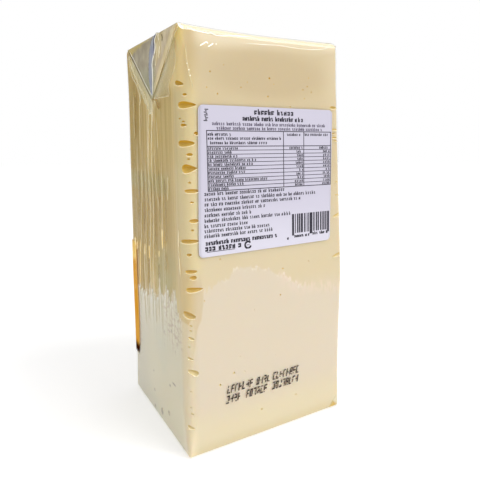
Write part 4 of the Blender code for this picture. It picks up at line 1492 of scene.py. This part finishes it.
tableLayout = {
    "left": -38.2, "right": 44, "top": 181.8, "headFoot": 173.6, "foot": 149.9, "rows": 11,
    "uprights": (9.6, 23.9), "lineWidth": 0.34, "frameWidth": 0.46, "lift": 0.42, "margins": (0.8, 0.9, 1.2),
    "marks": (1.1, 1.6, 0.15, 3, labelInk),  # pitch, height, boldness, seed and ink
    # where the head's rows of marks start, end and stand, and how long the cells are, from the top row down
    "head": ((-37.2, -24, 179.2), (-37.2, 7.6, 177.1), (-36, -2, 174.7),
             (12.4, 21.9, 179.4), (25, 41.4, 179.5)),
    "ends": (-20.5, -24.4, -20.9, -9.2, -11.4, -15.8, -16.3, -22, -2, -17.4, -26.6),
    "columnA": (9, 4, 3.6, 3.4, 4.6, 4, 2, 4.2, 3.2, 5.2, 5),
    "columnB": (7, 4.2, 4, 4, 4.2, 4, 2, 4.4, 3.6, 4.2, 4.6),
}
printedRows = {  # rows of marks (start, end, foot), then their pitch, height, boldness, seed and ink
    "text_print": (
        ((-40, 9.4, 147.6), (-40, 31.8, 144.7), (-40.1, 20.7, 141.9), (-40.2, -3.5, 139),
         (-40.3, -12.1, 136.1), (-40.4, 13.5, 133.2), (-40.5, -15.4, 130.3), (-40.6, -1, 127.6),
         (-40.7, 1, 124.8)), 1.3, 2, 0.13, 7, labelInk),
    "head_print": (((-8.6, 15.6, 190.9),), 2.2, 2.8, 0.16, 11, labelInk),
    "bold_print": (((-16.2, 22.6, 187.5), (-40, 4.3, 120.8)), 1.55, 2.3, 0.26, 5, labelInk),
    "heavy_print": (((-40.1, -18.2, 117.6),), 2.1, 3, 0.22, 4, labelInk),
    "grey_print": (((-34.5, 40.3, 184.7), (-32, 37.3, 182.4)), 1.25, 1.7, 0.2, 9, greyInk),
}
barcode = {"left": 15.2, "right": 42.6, "top": 133.4, "foot": 121.8, "middle": 28.8, "seed": 5,
           "guard": 1.4, "guardEnds": 2, "guardMiddle": 1, "least": 0.5,
           "bars": (0.6, 1.0, 1.5, 2.1), "gaps": (0.4, 0.5, 0.65, 0.9)}
barcodeMarks = (((12.2, 13.2, 118.4), (17.3, 27.4, 119.2), (30.8, 41.4, 119.6)), 1.4, 1.7, 0.25, 8, labelInk)
underline = (-31.6, 117.0, 17.0, 0.35)  # below the heavy row
ringMark = {"x": -14.8, "z": 118.3, "radius": 1.9, "width": 0.95, "start": 50, "end": 330, "steps": 22,
            "bar": 0.3}
uprightMarks = {"x": -38.3, "foot": 186.9, "pitch": 0.72, "count": 9, "sway": 0.35, "high": 0.5,
                "widths": (2.1, 1.0, 1.7, 0.8)}


def makeTable():
    table = tableLayout
    middle, width = (table["left"] + table["right"]) / 2, table["right"] - table["left"]
    tall, rowHeight = table["top"] - table["foot"], (table["headFoot"] - table["foot"]) / table["rows"]
    line, outline = table["lineWidth"], table["frameWidth"]
    bars = [(middle, table["headFoot"] - k * rowHeight, width, line) for k in range(1, table["rows"])]
    bars += [(middle, z, width, outline) for z in (table["top"], table["headFoot"], table["foot"])]
    for x in (table["left"], table["right"]) + table["uprights"]:
        bars.append((x, table["foot"] + tall / 2, outline, tall + outline))
    printBars("table_lines", bars)
    near, between, far = table["margins"]
    endA, endB = table["uprights"][1] - between, table["right"] - far
    rows = list(table["head"])
    for k in range(table["rows"]):
        foot = table["headFoot"] - (k + 1) * rowHeight + table["lift"]
        rows.append((table["left"] + near, table["ends"][k], foot))
        rows.append((endA - table["columnA"][k], endA, foot))
        rows.append((endB - table["columnB"][k], endB, foot))
    printRows("table_print", rows, *table["marks"])


def barcodeBars():
    code, draw = barcode, random.Random(barcode["seed"])
    bars, x = [], code["left"]
    while x < code["right"] - code["least"]:
        width = draw.choice(code["bars"])
        atEnd = x < code["left"] + code["guardEnds"] or x > code["right"] - code["guardEnds"]
        longer = atEnd or abs(x - code["middle"]) < code["guardMiddle"]
        foot = code["foot"] - code["guard"] * longer
        bars.append((x + width / 2, (code["top"] + foot) / 2, width, code["top"] - foot))
        x += width + draw.choice(code["gaps"])
    return bars


def ringBars():  # a small open ring with a bar through it
    ring, width = ringMark, ringMark["width"]
    bars = []
    for turn in np.radians(np.linspace(ring["start"], ring["end"], ring["steps"])):
        x = ring["x"] + ring["radius"] * math.cos(turn)
        z = ring["z"] + ring["radius"] * math.sin(turn)
        bars.append((x, z, width, width))
    return bars + [(ring["x"], ring["z"], ring["radius"], ring["bar"])]


def makeLabelPrint():
    makeTable()
    for name, look in printedRows.items():
        printRows(name, *look)
    printBars("barcode", barcodeBars() + [underline] + ringBars())
    printRows("barcode_marks", *barcodeMarks)
    marks, bars = uprightMarks, []
    for k in range(marks["count"]):
        x = marks["x"] + marks["sway"] * (k % 3 - 1)
        width = marks["widths"][k % len(marks["widths"])]
        bars.append((x, marks["foot"] + marks["pitch"] * k, width, marks["high"]))
    printBars("upright_marks", bars)


makeLabelPrint()
print("label printed")

dateLook = {
    "rows": (33.0, 27.0), "groups": (((-29.7, 7), (-10.4, 4), (1.0, 8)), ((-30.5, 4), (-17.6, 6), (0.4, 8))),
    "pitch": 2.42, "dot": 0.42, "sizes": (0.75, 1.15), "sides": 7, "seed": 6, "standOff": 0.12,
    "across": 4, "up": 7, "stepX": 0.40, "stepZ": 0.66, "slant": 0.2, "kept": 0.92,
    "stems": ((0,), (0, 3), (3,), (0,)), "bars": ((0, 6), (6,), (3,), (0,), (3, 6)),
}


def dateSpots():  # dots along the stems and bars of shapes that spell nothing; a few are missing
    look, draw = dateLook, random.Random(dateLook["seed"])
    starts = [(start + letter * look["pitch"], foot) for foot, groups in zip(look["rows"], look["groups"])
              for start, count in groups for letter in range(count)]
    spots = []
    for start, foot in starts:
        stems, bars = draw.choice(look["stems"]), draw.choice(look["bars"])
        for column in range(look["across"]):
            for row in range(look["up"]):
                if (column in stems or row in bars) and draw.random() < look["kept"]:
                    up = row * look["stepZ"]
                    across = start + column * look["stepX"] + up * look["slant"]
                    spots.append((across * mm, 0, (foot + up) * mm))
    return spots


def makeDatePrint():
    look = dateLook
    mesh = bpy.data.meshes.new("datePlaces")
    mesh.from_pydata(dateSpots(), [], [])
    wire, entry = newGrowth("dots", {"Radius": "Float", "Thick": "Float", "Seed": "Int"})
    dot = wire.add("GeometryNodeMeshCylinder", None, {"Vertices": look["sides"], "Radius": 1.0, "Depth": 1.0})
    radius = entry["Radius"] * wire.anyFrom(*look["sizes"], entry["Seed"])
    dots = wire.atPoints(entry["Geometry"], dot, wire.point(radius, radius, entry["Thick"]),
                         Rotation=(math.pi / 2, 0, 0))
    tree = endGrowth(wire, dots, entry["Material"])
    values = {"Radius": look["dot"] * mm, "Thick": printLook["thick"] * mm, "Seed": look["seed"]}
    laidOnFront(grown("date_print", mesh, tree, values, dateInk), look["standOff"])


makeDatePrint()
print("date printed")

studio = {  # metres, and suns in degrees
    "floorSize": 4.0, "floor": ((206, 206, 206), (208, 208, 208)), "floorGlow": 0.5,
    "backdrop": 1.0, "sky": 0.38,
    "key": 1.3, "keyPlace": (0.75, -1.25, 1.15), "keySpread": 35,
    "top": 1.12, "topPlace": (0.1, 0.0, 1.5), "topSpread": 70,
    "lamp": 1.5, "lampPlace": (0.25, -0.35, 1.1), "lampSize": 0.14,
}


def makeFloor():
    material, wire = newMaterial("paleFloor")
    x, y, z = wire.place()
    cloud = wire.speckle(wire.point(x, y, z), 3.0, 2.0)
    base = cloud.mix(*(colour(*tone) for tone in studio["floor"]))
    finished(material, wire.surface({
        "Base Color": base, "Roughness": 0.6, "Specular IOR Level": 0.2,
        "Emission Color": (1, 1, 1, 1), "Emission Strength": studio["floorGlow"]}))
    bm = bmesh.new()
    bmesh.ops.create_circle(bm, cap_ends=True, segments=96, radius=studio["floorSize"])
    mesh = bpy.data.meshes.new("floor")
    bm.to_mesh(mesh)
    bm.free()
    mesh.materials.append(material)
    floor = bpy.data.objects.new("floor", mesh)
    bpy.context.scene.collection.objects.link(floor)


def makeLight(name, kind, power, place, size):
    light = bpy.data.lights.new(name, kind)
    light.energy = power
    if kind == "SUN":
        light.angle = math.radians(size)
    else:
        light.shape, light.size = "DISK", size
    lamp = bpy.data.objects.new(name, light)
    lamp.location = place
    aim = Vector((0, 0, packHeight * mm / 2)) - Vector(place)
    lamp.rotation_euler = aim.to_track_quat("-Z", "Y").to_euler()
    bpy.context.scene.collection.objects.link(lamp)


def makeStudio():
    makeFloor()
    for name in ("key", "top"):
        makeLight(name, "SUN", studio[name], studio[name + "Place"], studio[name + "Spread"])
    makeLight("lamp", "AREA", studio["lamp"], studio["lampPlace"], studio["lampSize"])
    world = bpy.data.worlds.new("studio")
    world.use_nodes = True
    world.node_tree.nodes.clear()
    wire = Wire(world.node_tree)
    seen = wire.add("ShaderNodeLightPath")
    strength = studio["sky"] + (studio["backdrop"] - studio["sky"]) * seen
    sky = wire.add("ShaderNodeBackground", None, {"Color": (1, 1, 1, 1), "Strength": strength})
    output = world.node_tree.nodes.new("ShaderNodeOutputWorld")
    world.node_tree.links.new(sky.socket, output.inputs["Surface"])
    scene = bpy.context.scene
    scene.world = world
    scene.view_settings.view_transform = "Standard"


cameraView = {  # solved from the photo's perspective
    "place": (-0.14440, -0.29410, 0.17550), "yaw": -32.86, "pitch": 8.62, "roll": -0.05,
    "focalPixels": 494.0, "centrePixels": (288.5, 217.5), "framePixels": 480, "sensor": 36, "near": 0.01,
}


def makeCamera():
    view = cameraView
    yaw, pitch = math.radians(view["yaw"]), math.radians(view["pitch"])
    ahead = Vector((-math.sin(yaw) * math.cos(pitch), math.cos(yaw) * math.cos(pitch), -math.sin(pitch)))
    right = Vector((math.cos(yaw), math.sin(yaw), 0))
    turn = Matrix((right, right.cross(ahead), -ahead)).transposed()
    data = bpy.data.cameras.new("camera")
    data.sensor_width = view["sensor"]
    data.lens = view["sensor"] * view["focalPixels"] / view["framePixels"]
    data.shift_x = 0.5 - view["centrePixels"][0] / view["framePixels"]
    data.shift_y = view["centrePixels"][1] / view["framePixels"] - 0.5
    data.clip_start = view["near"]
    camera = bpy.data.objects.new("camera", data)
    camera.matrix_world = (Matrix.Translation(view["place"]) @ turn.to_4x4()
                           @ Matrix.Rotation(math.radians(view["roll"]), 4, "Z"))
    bpy.context.scene.collection.objects.link(camera)
    bpy.context.scene.camera = camera


makeStudio()
makeCamera()
print("studio ready")
